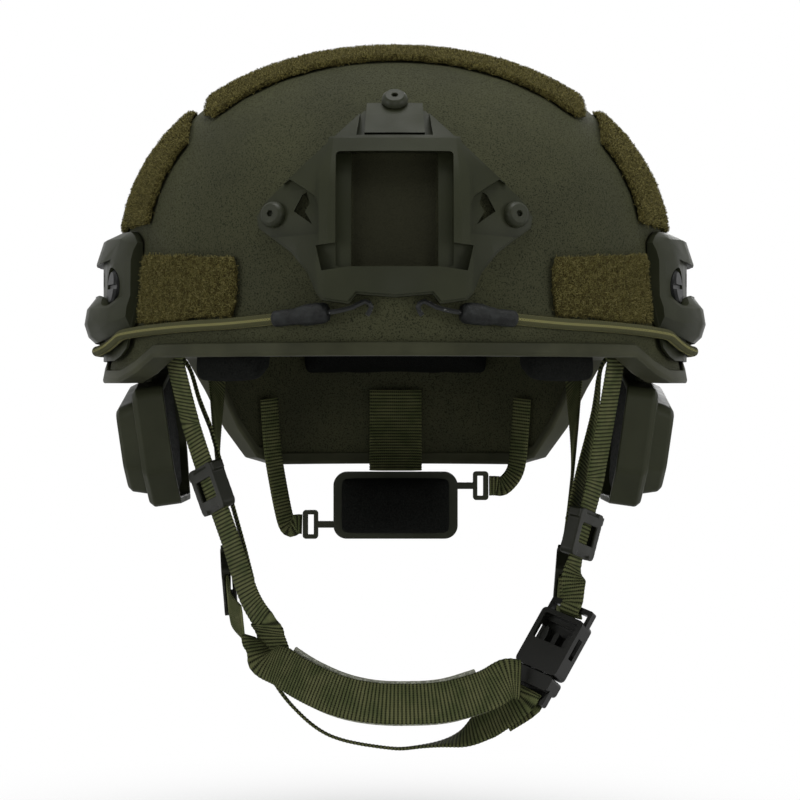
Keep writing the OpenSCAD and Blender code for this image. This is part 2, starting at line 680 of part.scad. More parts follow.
// A solid through rings, each given by its depth and its inset
module cover_stack(levels) {
    sweep([for (q = levels) turned(cover_ring(q[0], q[1]))]);
}
module lean_cover() {
    translate([cover_inner_x, 0, cover_top_z]) rotate([0, cover_lean, 0])
        translate([-cover_inner_x, 0, -cover_top_z]) children();
}
tab_y = 20;
tab_top_z = 21;
function cover_edge_z(y) = mix(cover_top_z, cover_back_z, (y + cover_half_l) / (2 * cover_half_l - 2));
tab_x = side_x(tab_y + 7, tab_top_z, -shell_wall - seat_gap - 0.3);
module ear_cover_left() {
    color(olive_dark) as_mesh() union() {
        lean_cover() difference() {
            cover_stack([
                [0, 0], [cover_body_t - 2, 0], [cover_body_t, 2], [cover_body_t, 5.6],
                [cover_body_t + cover_panel_t - 1.6, 7.4], [cover_body_t + cover_panel_t, 9.4],
            ]);
            cover_stack([[-1, cover_wall], [cover_body_t - cover_wall, cover_wall + 0.2]]);
        }
        // Tabs that reach up inside the shell to their screws
        for (y = [-tab_y, tab_y]) translate([tab_x - 2, y - 7, cover_edge_z(y) - 2.4])
            cube([2, 14, tab_top_z - cover_edge_z(y) + 2.4]);
    }
}
module ear_cover_right() {
    mirror([1, 0, 0]) ear_cover_left();
}
module ear_foam_left() {
    top = cover_body_t - cover_wall - seat_gap;
    rim = cover_wall + 0.2 + seat_gap;
    face = top - foam_t;
    color(black) lean_cover()
        cover_stack([[face, rim + 5], [face + 1.2, rim + 1.8], [face + 3, rim + 0.4], [top, rim]]);
}
module ear_foam_right() {
    mirror([1, 0, 0]) ear_foam_left();
}
module ear_screws() {
    color(black) for (m = [0, 1], y = [-tab_y, tab_y]) mirror([m, 0, 0])
        translate([tab_x - 2 - seat_gap, y, tab_top_z - 7]) rotate([0, -90, 0]) difference() {
            cylinder(h = 2, d1 = 9, d2 = 7.4);
            translate([0, 0, 0.8]) cylinder(h = 2, d = 3, $fn = 6);
        }
}

// Pads: crowned cushions that follow the inside of the shell
function pillow(u, v) = pow(max(0, 4 * u * (1 - u)), 0.4) * pow(max(0, 4 * v * (1 - v)), 0.4);
function pad_depth(u, v) = mix(pad_edge_t, pad_t, pillow(u, v));
pad_back = -shell_wall - seat_gap - 0.4;
// The pads stand off the edge trim's inner lip where they pass it
function pad_off(t, z) = z < rim_z(t) + trim_h + 4 ? pad_back - trim_t - seat_gap : pad_back;
module wall_pad(t0, t1, z0, z1, n = 8, m = 6) {
    // The face is drawn in towards its middle, so the sides slope
    function at(i, j, g, pull) =
        let (u = mix(pull, 1 - pull, i / n), v = mix(pull, 1 - pull, j / m))
        at_z(mix(t0, t1, u), mix(z0, z1, v), pad_off(mix(t0, t1, u), mix(z0, z1, v)) - g);
    between(
        [for (j = [0:m]) [for (i = [0:n]) at(i, j, 0, 0)]],
        [for (j = [0:m]) [for (i = [0:n]) at(i, j, pad_depth(i / n, j / m), 0.05)]]
    );
}
module pad_front() {
    color(black) wall_pad(-26, 26, 6, 46);
}
module pad_temple_left() {
    color(black) wall_pad(30.5, 50, -11, 50, 6, 8);
}
module pad_temple_right() {
    mirror([1, 0, 0]) pad_temple_left();
}
module pad_back_left() {
    color(black) wall_pad(116, 142, 28, 74, 6, 8);
}
module pad_back_right() {
    mirror([1, 0, 0]) pad_back_left();
}
module pad_rear() {
    color(black) wall_pad(154, 206, -6, 52);
}
module pad_crown() {
    half = 46;
    n = 8;
    function at(i, j, g, pull) =
        let (
            r = half * (1 - pull), x = mix(-r, r, i / n), y = mix(-r, r, j / n),
            q = 1 - 0.22 * abs(x * y) / (r * r)
        )
        [x * q, y * q, crown_z(x * q, y * q, g)];
    color(black) between(
        [for (j = [0:n]) [for (i = [0:n]) at(i, j, pad_back, 0)]],
        [for (j = [0:n]) [for (i = [0:n]) at(i, j, pad_back - pad_depth(i / n, j / n), 0.07)]]
    );
}

// Harness. Each route runs from the shell down, with the direction across the webbing.
inside = -(shell_wall + trim_t + 2 * seat_gap + web_t / 2);
anchor_t = 1.6;
front_anchor_t = 58.5;
return_anchor_t = 72;
rear_anchor_t = 128;
chin_lift = 134 - chin_drop;
swing_z = -34;
cheek_across = [0.5, -0.86, 0];
// The wearer's right side, at -X
right_swing = [-78.6, -58.6, swing_z];
right_slider_top = [-76.3, -59.4, -41];
right_slider_end = [-64.4, -62.6, -74];
right_low = [-57.6, -65, -94];
right_jaw = [-51.2, -67.8, -105.4 + chin_lift];
right_slide_dir = unit(right_slider_end - right_slider_top);
swing_dir = unit(right_slider_top - right_swing);
swing_gap = 0.7;
// The wearer's left side, at +X
left_slider_top = [79.4, -59, -49];
left_slider_end = [71.3, -62, -80];
left_slide_dir = unit(left_slider_end - left_slider_top);
left_across = [-0.48, -0.88, 0];

function anchored(t, z, off = 0) = at_z(t, z, inside - off);
module strap_front_right() {
    a = anchored(-front_anchor_t, 18);
    b = anchored(-front_anchor_t, 6);
    p = concat(curve([a, b, right_swing - swing_dir * 8], 6), [right_swing - swing_dir * swing_gap]);
    across = [for (i = [0:len(p) - 1]) mix([0.45, -0.9, 0], cheek_across, i / (len(p) - 1))];
    color(web_green) webbing(p, across);
}
module strap_front_left() {
    a = anchored(front_anchor_t, 18);
    b = anchored(front_anchor_t, 6);
    upper = concat(curve([a, b, left_slider_top], 6), [left_slider_end]);
    lower = bar_loop(socket_bar_y, 1, unit(left_slider_end - in_buckle([0, socket_bar_y, 0])), 13);
    below = left_slider_end + left_slide_dir * 3;
    turns = concat([for (q = upper) left_across], [left_across], [for (q = lower) -buckle_b]);
    color(web_green) webbing(concat(upper, [below], lower), turns);
}
// Return layers, seen edge on between the strap and the face, which keep inside the ear covers
return_across = [0.12, -0.99, 0];
return_inset = [30.8, 32.4];
return_low = [-71.9, -51.4, swing_z];
return_route = [
    anchored(return_anchor_t, 24), anchored(return_anchor_t, 14), anchored(70.2, 5, 7.1), anchored(67.2, -3, 15),
];
// The webbing lies flat on the shell at its anchor, and turns edge on below
function return_turns(p) = [for (i = [0:len(p) - 1]) mix([0.26, -0.96, 0], return_across, min(1, i / 6))];
module strap_return_right() {
    down = return_dir();
    return_bend = [-(shell_half_w - return_inset[1]), -46.4, -16];
    p = concat(
        curve(concat([for (q = return_route) flip(q)], [return_bend, return_low - down * 7]), 3),
        [return_low - down * swing_gap]
    );
    color(web_green) webbing(p, return_turns(p), web_w - 2);
}
return_lower = [-67.2, -53.4, -50];
function return_dir() = unit(return_lower - return_low);
module strap_return_left() {
    return_bend = [shell_half_w - return_inset[0], -46.4, -22];
    p = curve(concat(return_route, [return_bend, [74.6, -52.2, -46], [70.6, -58.6, -66]]), 3);
    turns = return_turns(p);
    k = len(p) - 1;
    color(web_green)
        webbing(p, [for (i = [0:k]) mix(flip(turns[i]), left_across, max(0, 2 * i / k - 1))], web_w - 2);
}
// The part of the right front strap below the hinge line, with its return layer
module strap_lower_right() {
    p = concat(
        [right_swing + swing_dir * swing_gap, right_slider_top],
        curve([right_slider_end, right_low, right_jaw], 5)
    );
    r = concat(
        [return_low + return_dir() * swing_gap, return_lower],
        curve([[-60.2, -57.4, -74], [-56.4, -61, -88]], 2)
    );
    color(web_green) {
        webbing(p, [for (i = [0:len(p) - 1]) mix(cheek_across, [0.6, -0.8, 0.1], i / (len(p) - 1))]);
        webbing(r, [for (i = r) return_across], web_w - 2);
    }
}

// A strap slider: a moulded frame round the webbing, with a window over its middle
module slider_frame(extra = 0) {
    w = web_w + 2 * slide_gap;
    h = web_t + 2 * slide_gap;
    skin = 1.4;
    difference() {
        union() {
            hull() for (x = [-1, 1], y = [-1, 1])
                translate([x * (w / 2 + slider_side - 2), y * (slider_l / 2 - 2 - extra), 0])
                cylinder(h = h + 2 * skin, r = 2, center = true, $fn = 12);
            translate([0, slider_l / 2 - 2.4, 0])
                cube([w + 2 * slider_side + 3, 3.4, h + 2 * skin - 0.6], center = true);
        }
        cube([w, slider_l * 2, h], center = true);
        translate([0, 0, h / 2 + 2]) cube([w - 3, slider_l * 0.42, 5], center = true);
        for (y = [-1, 1]) translate([0, y * slider_l * 0.46, h / 2 + skin])
            rotate([45, 0, 0]) cube([w - 5, 1.6, 1.6], center = true);
    }
}
// Places a slider on a strap: middle, direction down the strap, and direction across it
module on_strap(p, down, across) {
    d = unit(down);
    n = unit(cross(d, across));
    a = cross(n, d);
    multmatrix([
        [a[0], -d[0], n[0], p[0]], [a[1], -d[1], n[1], p[1]], [a[2], -d[2], n[2], p[2]], [0, 0, 0, 1],
    ]) children();
}
slider_drop = slider_l / 2 + 1.5;
module slider_right() {
    color(black) as_mesh()
        on_strap(right_slider_top + right_slide_dir * slider_drop, right_slide_dir, cheek_across)
        slider_frame();
}
module slider_left() {
    color(black) as_mesh()
        on_strap(left_slider_end - left_slide_dir * slider_drop, left_slide_dir, -left_across)
        slider_frame();
}

// Rear straps from inside the shell's nape, round under the ears to the jaw
rear_inset = [33.4, 37.4, 41.4];
rear_slide_from = [-(shell_half_w - rear_inset[2]), -2, -82];
rear_slide_to = [-66.4, -40, -100];
rear_across = [0.05, 0.42, -0.9];
rear_route = [
    [-(shell_half_w - rear_inset[0]), 52, -38], [-(shell_half_w - rear_inset[1]), 24, -64], rear_slide_from,
];
module strap_rear(end) {
    top = [for (q = [[20, 0], [5, 0.4], [-9, 2.6]]) anchored(-rear_anchor_t, q[0], q[1])];
    p = concat(curve(concat(top, rear_route), 4), [rear_slide_to], end);
    k = len(p) - 1;
    webbing(p, [for (i = [0:k]) mix([0.55, 0.83, 0], rear_across, ease(min(1, max(0, i - 3) / 11)))]);
}
module strap_rear_right() {
    color(web_green) strap_rear([[-60.8, -55, -106.4 + chin_lift]]);
}
module strap_rear_left() {
    color(web_green) mirror([1, 0, 0]) strap_rear([[-71.6, -60.2, -94.2]]);
}
rear_slide_dir = unit(rear_slide_to - rear_slide_from);
module rear_slider_right() {
    color(black) as_mesh()
        on_strap((rear_slide_from + rear_slide_to) / 2, rear_slide_dir, -rear_across) slider_frame();
}
module rear_slider_left() {
    mirror([1, 0, 0]) rear_slider_right();
}
// Plates that clamp the straps' upper ends to the shell
module strap_anchors() {
    color(black) for (m = [0, 1], a = [[front_anchor_t, 12], [rear_anchor_t, 14], [return_anchor_t, 21]])
        mirror([m, 0, 0]) on_shell(a[0], a[1], inside - web_t / 2 - seat_gap)
        rotate([180, 0, 0]) difference() {
            hull() for (x = [-1, 1]) translate([x * 5, 0, 0]) cylinder(h = anchor_t, d = 7, $fn = 10);
            translate([0, 0, 0.8]) cylinder(h = 2, d = 3, $fn = 6);
        }
}

// Chin band from the jaw joint round the chin to the buckle
band_route = [
    [-51.5, -68, -115.5], [-44, -76, -122], [-34.2, -86, -127], [-21.6, -95, -131.4],
    [-8, -chin_reach, -133.6], [8, -chin_reach, -134], [21.2, -96.6, -133.2], [34.9, -89.4, -130],
    [43.6, -83.4, -126], [48.8, -80, -126.6],
];
// A point of the band, moved in towards the jaw by a distance
function band_at(p, off) = p + [0, 0, chin_lift] + off * unit([-p[0], -50 - p[1], 0]);
module chin_band() {
    p = curve([for (q = band_route) band_at(q, 0)], 3);
    color(web_green) webbing(p, [for (q = p) [0, 0.28, 0.96]]);
}
// Soft lining behind the band
lining_t = 1.6;
module chin_lining() {
    off = web_t / 2 + seat_gap + lining_t / 2 + 0.4;
    p = curve([for (i = [1:len(band_route) - 3]) band_at(band_route[i], off)], 3);
    color("#8f9184") webbing(p, [for (q = p) [0, 0.28, 0.96]], web_w + 1.4, lining_t);
}
// Strap under the chin, edge on to the front
under_lift = 154 - under_drop;
module under_chin_strap() {
    drops = [
        [-52.6, -57.6, -121.5 + chin_lift], [-42, -63, -136], [-26, -64, -149], [-3, -64, -154],
        [10, -65, -153.4], [25.7, -67, -150], [36, -70.5, -143],
    ];
    run = [for (i = [0:len(drops) - 1]) drops[i] + [0, 0, i > 0 ? under_lift : 0]];
    p = curve(run, 4);
    end = run[len(run) - 1];
    loop = bar_loop(plug_bar_y, -1, unit(end - in_buckle([0, plug_bar_y, 0])), 11);
    k = len(p) - 1;
    across = [for (i = [0:k]) mix([0, -1, 0.12], buckle_b, ease(max(0, i / k - 0.6) / 0.5))];
    color(web_green) webbing(concat(p, loop), concat(across, [for (q = loop) buckle_b]));
}

// Side-release buckle. In its own frame +Y runs up the axis from the socket's mouth, X across
// and Z out of its face.
mouth = [56.3, -74, -124 + chin_lift];
buckle_axis = unit([0.49, 0.2, 0.848]);
buckle_n = unit(cross([0.752, -0.61, -0.248], buckle_axis));
buckle_b = cross(buckle_axis, buckle_n);
function in_buckle(q) = mouth + buckle_b * q[0] + buckle_axis * q[1] + buckle_n * q[2];
module at_buckle() {
    multmatrix([
        for (i = [0:2]) [buckle_b[i], buckle_axis[i], buckle_n[i], mouth[i]], [0, 0, 0, 1],
    ]) children();
}
// Webbing that comes along a direction to the face of a strap bar, goes round it and back behind
// it for a length. side is 1 for the bar at the top of the buckle and -1 for the one at its foot.
bar_t = 3;
bar_l = 2.2;
bar_slot = 3.4;
loop_r = bar_t / 2 + seat_gap + web_t / 2;
function bar_loop(y, side, lead, tail) = concat(
    [in_buckle([0, y + side * bar_l, 0]) + lead * 6 + buckle_n * 2, in_buckle([0, y + side * bar_l, loop_r])],
    [for (a = [0:30:180]) in_buckle([0, y - side * loop_r * sin(a) * 0.75, loop_r * cos(a)])],
    [
        in_buckle([0, y + side * bar_l, -loop_r]),
        in_buckle([0, y + side * bar_l, 0]) + lead * tail - buckle_n * 1.6,
    ]
);
buckle_wall = 1.6;
socket_bar_y = socket_l + bar_slot;
plug_base_l = 6;
plug_bar_y = -plug_base_l - slide_gap - bar_slot;
prong_w = 3;
prong_t = buckle_t - 2 * buckle_wall - 2 * prong_gap;
prong_x = buckle_w / 2 - buckle_wall - prong_gap - prong_w / 2;
guide_w = 2.2;
module rounded_block(w, l, t, r) {
    linear_extrude(t, center = true) offset(r) offset(delta = -r) translate([-w / 2, 0]) square([w, l]);
}
module buckle_socket() {
    color(black) at_buckle() difference() {
        union() {
            rounded_block(buckle_w, socket_l, buckle_t, 2);
            translate([0, socket_l - 2, 0]) rounded_block(buckle_w, bar_slot + bar_l + 2, bar_t, 1);
        }
        // Hollow for the plug, the face's window and the side windows
        translate([0, prong_l / 2 - 0.5, 0])
            cube([buckle_w - 2 * buckle_wall, prong_l + 3, buckle_t - 2 * buckle_wall], center = true);
        translate([0, socket_l - 7.4, buckle_t / 2]) rounded_window();
        translate([0, prong_l - 6, 0]) cube([buckle_w + 2, 9, 3], center = true);
        // Slot under the strap's bar
        translate([0, socket_l + bar_slot / 2, 0])
            cube([web_w + 2 * slide_gap, bar_slot, buckle_t], center = true);
    }
}
module rounded_window() {
    linear_extrude(buckle_t, center = true) offset(1)
        square([buckle_w - 2 * buckle_wall - 3, 9], center = true);
}
module buckle_plug() {
    color(black) at_buckle() {
        difference() {
            union() {
                translate([0, -plug_base_l - slide_gap, 0])
                    rounded_block(buckle_w, plug_base_l, buckle_t, 1.6);
                translate([0, plug_bar_y - bar_l, 0]) rounded_block(buckle_w, bar_slot + bar_l + 2, bar_t, 1);
            }
            translate([0, plug_bar_y + bar_slot / 2, 0])
                cube([web_w + 2 * slide_gap, bar_slot, buckle_t], center = true);
            for (x = [-1, 1]) translate([x * prong_x, -2, 0])
                cube([prong_w + 2 * slide_gap + 3, 5.2, prong_t + 2 * slide_gap], center = true);
        }
        // Guide between the prongs
        translate([0, -1.6, 0]) rounded_block(guide_w, prong_l - 1, prong_t, 0.9);
    }
}
// A prong: a springy arm with a thicker shoulder that shows in the windows
module prong() {
    color(black) translate([prong_x, 0, 0]) linear_extrude(prong_t, center = true)
        polygon([
            [-prong_w / 2, -4], [prong_w / 2, -4], [prong_w / 2, 3], [prong_w / 2 - 0.9, 6.5],
            [prong_w / 2 - 0.9, 10.5], [prong_w / 2 + 0.2, 13.5], [prong_w / 2 - 0.2, prong_l - 3],
            [0, prong_l - 1.2], [-1, prong_l - 1.6], [-prong_w / 2 - 0.2, prong_l - 5],
            [-prong_w / 2 + 0.2, 6],
        ]);
}
module prong_outer() {
    at_buckle() prong();
}
module prong_inner() {
    at_buckle() mirror([1, 0, 0]) prong();
}

// Fit dial at the nape: a knob whose pinion draws two racks together
pitch_r = pinion_teeth * tooth_size / 2;
dial_y = shell_half_l - 23;
dial_z = -dial_drop;
backlash = 0.25;
housing_w = 56;
housing_h = 30;
housing_t = 14;
rack_t = 4;
rack_back_h = 3;
track_half_h = pitch_r + 1.25 * tooth_size + rack_back_h + slide_gap;
// One gear tooth, in the gear's plane, with straight flanks
module pinion_outline() {
    half = 90 / pinion_teeth;
    root_r = pitch_r - 1.25 * tooth_size;
    tip_r = pitch_r + 0.9 * tooth_size;
    flank = [
        [root_r * cos(half * 1.25), root_r * sin(half * 1.25)],
        [pitch_r * cos(half), pitch_r * sin(half) - backlash / 2], [tip_r, tooth_size * 0.36],
    ];
    circle(r = root_r);
    for (i = [0:pinion_teeth - 1]) rotate(i * 360 / pinion_teeth)
        polygon(concat([[0, 0]], [for (q = flank) [q[0], -q[1]]], [flank[2], flank[1], flank[0]]));
}
module dial_knob() {
    color(black) translate([0, dial_y, dial_z]) rotate([-90, 0, 0]) {
        translate([0, 0, -rack_t / 2]) linear_extrude(rack_t) pinion_outline();
        translate([0, 0, -rack_t / 2 - 2]) cylinder(h = 3, r = 2.5);
        translate([0, 0, rack_t / 2 - 1]) cylinder(h = housing_t / 2 - rack_t / 2 + 1.6, r = 4);
        translate([0, 0, housing_t / 2 + 0.5]) difference() {
            cylinder(h = knob_t, d1 = knob_d, d2 = knob_d - 2);
            for (i = [0:15]) rotate(i * 22.5) translate([knob_d / 2 + 0.4, 0, -1])
                cylinder(h = knob_t + 2, r = 1.5, $fn = 16);
            translate([0, 0, knob_t - 1.2]) cylinder(h = 3, d = knob_d * 0.6);
        }
    }
}
pitch = PI * tooth_size;
rack_overlap = 26;
// A rack whose teeth face down, from its free end inside the housing to its eye outside
module rack_outline() {
    count = floor((rack_overlap + 14) / pitch);
    half = pitch / 4;
    difference() {
        union() {
            translate([-rack_overlap, 1.25 * tooth_size]) square([rack_l, rack_back_h]);
            intersection() {
                translate([-rack_overlap, -tooth_size]) square([rack_overlap + 15, 3]);
                for (i = [-count:count]) translate([i * pitch + pitch / 2, 0])
                    polygon([
                        [-half - 0.5 * tooth_size, 1.3 * tooth_size], [-half + backlash / 2, 0],
                        [-half + backlash / 2 + 0.34 * tooth_size, -0.9 * tooth_size],
                        [half - backlash / 2 - 0.34 * tooth_size, -0.9 * tooth_size],
                        [half - backlash / 2, 0], [half + 0.5 * tooth_size, 1.3 * tooth_size],
                    ]);
            }
            translate([rack_l - rack_overlap - 5, 1.25 * tooth_size - 5]) offset(1.5) offset(-1.5)
                square([7, rack_back_h + 10]);
        }
        translate([rack_l - rack_overlap - 3, 1.25 * tooth_size - 3]) square([2.6, rack_back_h + 6]);
    }
}
module rack_left() {
    color(olive_dark) translate([0, dial_y + rack_t / 2, dial_z + pitch_r]) rotate([90, 0, 0])
        linear_extrude(rack_t) rack_outline();
}
module rack_right() {
    color(olive_dark) translate([0, dial_y + rack_t / 2, dial_z - pitch_r]) rotate([90, 0, 0])
        linear_extrude(rack_t) rotate(180) rack_outline();
}
module dial_housing() {
    color(olive_dark) translate([0, dial_y, dial_z]) rotate([90, 0, 0]) difference() {
        linear_extrude(housing_t, center = true) offset(6) offset(-6)
            square([housing_w, housing_h], center = true);
        // Track for the racks and the pinion, open at both ends
        cube([housing_w + 2, 2 * track_half_h, rack_t + 2 * slide_gap], center = true);
        translate([0, 0, -housing_t / 2 - 1]) cylinder(h = housing_t / 2 + 1, r = 4 + slide_gap);
        cylinder(h = rack_t / 2 + 2 + slide_gap, r = 2.5 + slide_gap);
    }
}
module nape_pad() {
    w = housing_w - 4;
    h = housing_h - 2;
    y0 = dial_y - housing_t / 2 - seat_gap;
    function at(u, v, d) = [mix(-w / 2, w / 2, u), y0 - d, dial_z + mix(-h / 2, h / 2, v)];
    function lift(u, v) = 5 + 5 * pillow(u, v);
    us = steps(0, 1, 10);
    vs = steps(0, 1, 6);
    color(black) between(
        [for (v = vs) [for (u = us) at(mix(0.04, 0.96, u), mix(0.06, 0.94, v), lift(u, v))]],
        [for (v = vs) [for (u = us) at(u, v, 0)]]
    );
}
// Tongue that hangs the dial from the shell, and links from the racks to the shell
module nape_hanger() {
    top = anchored(180, -12);
    low = [0, dial_y + 3, dial_z + housing_h / 2 + seat_gap + 0.5];
    p = curve([top, anchored(180, -30, 1), low], 5);
    color(web_green) webbing(p, [for (q = p) [1, 0, 0]], 24);
}
module nape_link(z_shift) {
    eye = [rack_l - rack_overlap + 2 + seat_gap, dial_y, dial_z + z_shift];
    rise = [
        eye + [3, 0, 0], eye + [7, -1.5, 0.5], anchored(148, -47.5, 1.6), anchored(147, -32), anchored(146, -16),
    ];
    p = concat([eye], curve(rise, 4));
    k = len(p) - 1;
    color(web_green)
        webbing(p, [for (i = [0:k]) mix([0, 0.1, 1], [-0.87, 0.5, 0], ease(min(1, 1.8 * i / k)))], 9, 1.4);
}
module nape_link_left() {
    nape_link(pitch_r + 2.7);
}
module nape_link_right() {
    mirror([1, 0, 0]) nape_link(-pitch_r - 2.7);
}

shell();
edge_trim();
shroud();
shroud_screws();
rail_bolts();
rail_left();
rail_right();
cord_left();
cord_right();
sleeve_left();
sleeve_right();
hook_left();
hook_right();
patch_crown();
patch_rear();
patch_side_left();
patch_side_right();
patch_front_left();
patch_front_right();
ear_cover_left();
ear_cover_right();
ear_foam_left();
ear_foam_right();
ear_screws();
pad_front();
pad_crown();
pad_rear();
pad_temple_left();
pad_temple_right();
pad_back_left();
pad_back_right();
strap_front_left();
strap_front_right();
strap_return_left();
strap_return_right();
strap_rear_left();
strap_rear_right();
strap_anchors();
slider_left();
slider_right();
rear_slider_left();
rear_slider_right();
strap_lower_right();
chin_band();
chin_lining();
under_chin_strap();
buckle_socket();
buckle_plug();
prong_inner();
prong_outer();
dial_housing();
dial_knob();
rack_left();
rack_right();
nape_pad();
nape_hanger();
nape_link_left();
nape_link_right();
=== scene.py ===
import json
import math

import bmesh
import bpy
import numpy as np
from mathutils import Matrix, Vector, noise


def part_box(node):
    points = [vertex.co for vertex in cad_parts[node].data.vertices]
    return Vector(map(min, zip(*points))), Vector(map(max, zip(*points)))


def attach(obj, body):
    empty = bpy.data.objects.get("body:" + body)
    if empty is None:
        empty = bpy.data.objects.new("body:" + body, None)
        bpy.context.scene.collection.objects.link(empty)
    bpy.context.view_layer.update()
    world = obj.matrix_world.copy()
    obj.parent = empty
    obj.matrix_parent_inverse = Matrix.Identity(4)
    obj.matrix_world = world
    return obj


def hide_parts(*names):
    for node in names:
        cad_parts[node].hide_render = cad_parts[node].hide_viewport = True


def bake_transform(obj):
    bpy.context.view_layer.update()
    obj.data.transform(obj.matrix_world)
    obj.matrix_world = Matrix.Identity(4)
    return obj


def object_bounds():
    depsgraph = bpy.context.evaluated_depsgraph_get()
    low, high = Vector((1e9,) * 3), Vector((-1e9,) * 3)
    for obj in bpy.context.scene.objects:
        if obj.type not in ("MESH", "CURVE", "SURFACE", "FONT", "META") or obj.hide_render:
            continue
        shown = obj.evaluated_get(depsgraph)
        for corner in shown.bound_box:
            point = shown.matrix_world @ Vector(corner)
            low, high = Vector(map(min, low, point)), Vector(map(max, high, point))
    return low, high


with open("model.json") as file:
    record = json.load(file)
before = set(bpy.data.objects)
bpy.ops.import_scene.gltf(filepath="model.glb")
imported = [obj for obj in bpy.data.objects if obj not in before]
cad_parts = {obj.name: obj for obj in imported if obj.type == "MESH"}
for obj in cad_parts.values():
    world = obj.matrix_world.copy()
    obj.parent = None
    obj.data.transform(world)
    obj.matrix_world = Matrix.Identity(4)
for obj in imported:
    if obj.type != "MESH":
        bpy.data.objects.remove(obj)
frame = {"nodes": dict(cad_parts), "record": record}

cad_low, cad_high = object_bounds()
scene = bpy.context.scene
MM = 0.001
body_of = {n: b for b, members in frame["record"]["behaviour"]["bodies"].items() for n in members}
slot_of = {p["node"]: p["material_slot"] for p in frame["record"]["subparts"]}


# Camera: level and square to the front, with its distance and lens chosen to match the photograph
CAMERA_AT = (0.002, -1.25, -0.0165)
LENS_MM = 135
SENSOR_MM = 36
NEAREST = 0.01
camera = bpy.data.objects.new("camera", bpy.data.cameras.new("camera"))
scene.collection.objects.link(camera)
camera.location = CAMERA_AT
camera.rotation_euler = (math.radians(90), 0, 0)
camera.data.lens = LENS_MM
camera.data.sensor_width = SENSOR_MM
camera.data.clip_start = NEAREST
scene.camera = camera
scene.view_settings.view_transform = "Standard"


def linear(code):
    """A screen colour such as #3d3e2d as linear RGBA."""
    parts = [int(code[i:i + 2], 16) / 255 for i in (1, 3, 5)]
    return [c / 12.92 if c <= 0.04045 else ((c + 0.055) / 1.055) ** 2.4 for c in parts] + [1]


SHEEN_ROUGHNESS = 0.6
SHEEN_TINT = "#c9c07a"


class Paint:
    """A Principled material, with short calls for the nodes that shape its colour and relief."""

    def __init__(self, name, roughness, specular=0.3, sheen=0.0):
        self.material = bpy.data.materials.new(name)
        self.material.use_nodes = True
        self.tree = self.material.node_tree
        self.shader = self.tree.nodes["Principled BSDF"]
        self.set("Roughness", roughness)
        self.set("Specular IOR Level", specular)
        if sheen:
            self.set("Sheen Weight", sheen)
            self.set("Sheen Roughness", SHEEN_ROUGHNESS)
            self.set("Sheen Tint", linear(SHEEN_TINT))
        coords = self.tree.nodes.new("ShaderNodeTexCoord")
        self.place = coords.outputs["Object"]
        self.uv = coords.outputs["UV"]
        self.normal = None

    def set(self, socket, value):
        if isinstance(value, bpy.types.NodeSocket):
            self.tree.links.new(value, self.shader.inputs[socket])
        else:
            self.shader.inputs[socket].default_value = value

    def node(self, kind, inputs, out=0, **settings):
        made = self.tree.nodes.new(kind)
        for key, value in settings.items():
            setattr(made, key, value)
        for key, value in inputs.items():
            if isinstance(value, bpy.types.NodeSocket):
                self.tree.links.new(value, made.inputs[key])
            else:
                made.inputs[key].default_value = value
        return made.outputs[out]

    def noise(self, scale, detail=2.0, rough=0.5, at=None):
        inputs = {"Vector": at or self.place, "Scale": scale, "Detail": detail, "Roughness": rough}
        return self.node("ShaderNodeTexNoise", inputs)

    def cells(self, scale, at=None):
        return self.node("ShaderNodeTexVoronoi", {"Vector": at or self.place, "Scale": scale})

    def math(self, operation, a, b=0.0):
        return self.node("ShaderNodeMath", {0: a, 1: b}, operation=operation)

    def span(self, value, low, high, to_low=0.0, to_high=1.0):
        inputs = {0: value, 1: low, 2: high, 3: to_low, 4: to_high}
        return self.node("ShaderNodeMapRange", inputs, clamp=True)

    def mix(self, factor, a, b):
        a, b = (linear(c) if isinstance(c, str) else c for c in (a, b))
        return self.node("ShaderNodeMix", {0: factor, 6: a, 7: b}, out=2, data_type="RGBA")

    def colour(self, value):
        self.set("Base Color", linear(value) if isinstance(value, str) else value)

    def bump(self, height, strength, distance):
        inputs = {"Height": height, "Strength": strength, "Distance": distance}
        if self.normal:
            inputs["Normal"] = self.normal
        self.normal = self.node("ShaderNodeBump", inputs)
        self.set("Normal", self.normal)

    def parts(self, vector):
        split = self.tree.nodes.new("ShaderNodeSeparateXYZ")
        self.tree.links.new(vector, split.inputs[0])
        return split.outputs


# How far the roughness of moulded plastic wanders to either side
ROUGHNESS_SWING = 0.06


def moulded(name, light, dark, roughness, grain=2600, specular=0.07):
    """Moulded plastic: a fine even grain, with clouds of a slightly paler tone."""
    p = Paint(name, roughness, specular)
    cloud = p.span(p.noise(38, 3), 0.35, 0.7)
    p.colour(p.mix(cloud, dark, light))
    low, high = roughness - ROUGHNESS_SWING, roughness + ROUGHNESS_SWING
    p.set("Roughness", p.span(p.noise(90, 3), 0.3, 0.7, low, high))
    p.bump(p.noise(grain, 1), 0.16, 0.0002)
    return p.material


# The shroud's window, where the shell is painted with shade: its half width, its ends' distances from the
# shroud's own, and how far each edge fades
WINDOW_HALF = 15 * MM
WINDOW_SIDE_FADE = 2.5 * MM
WINDOW_FROM_LOW = 11 * MM
WINDOW_LOW_FADE = 4 * MM
WINDOW_FROM_HIGH = 24 * MM
WINDOW_HIGH_FADE = 6 * MM
# The window's painted shade lies only on the front of the shell, up to this share of its reach
FRONT_SHARE = 0.8
FRONT_FADE = 4 * MM


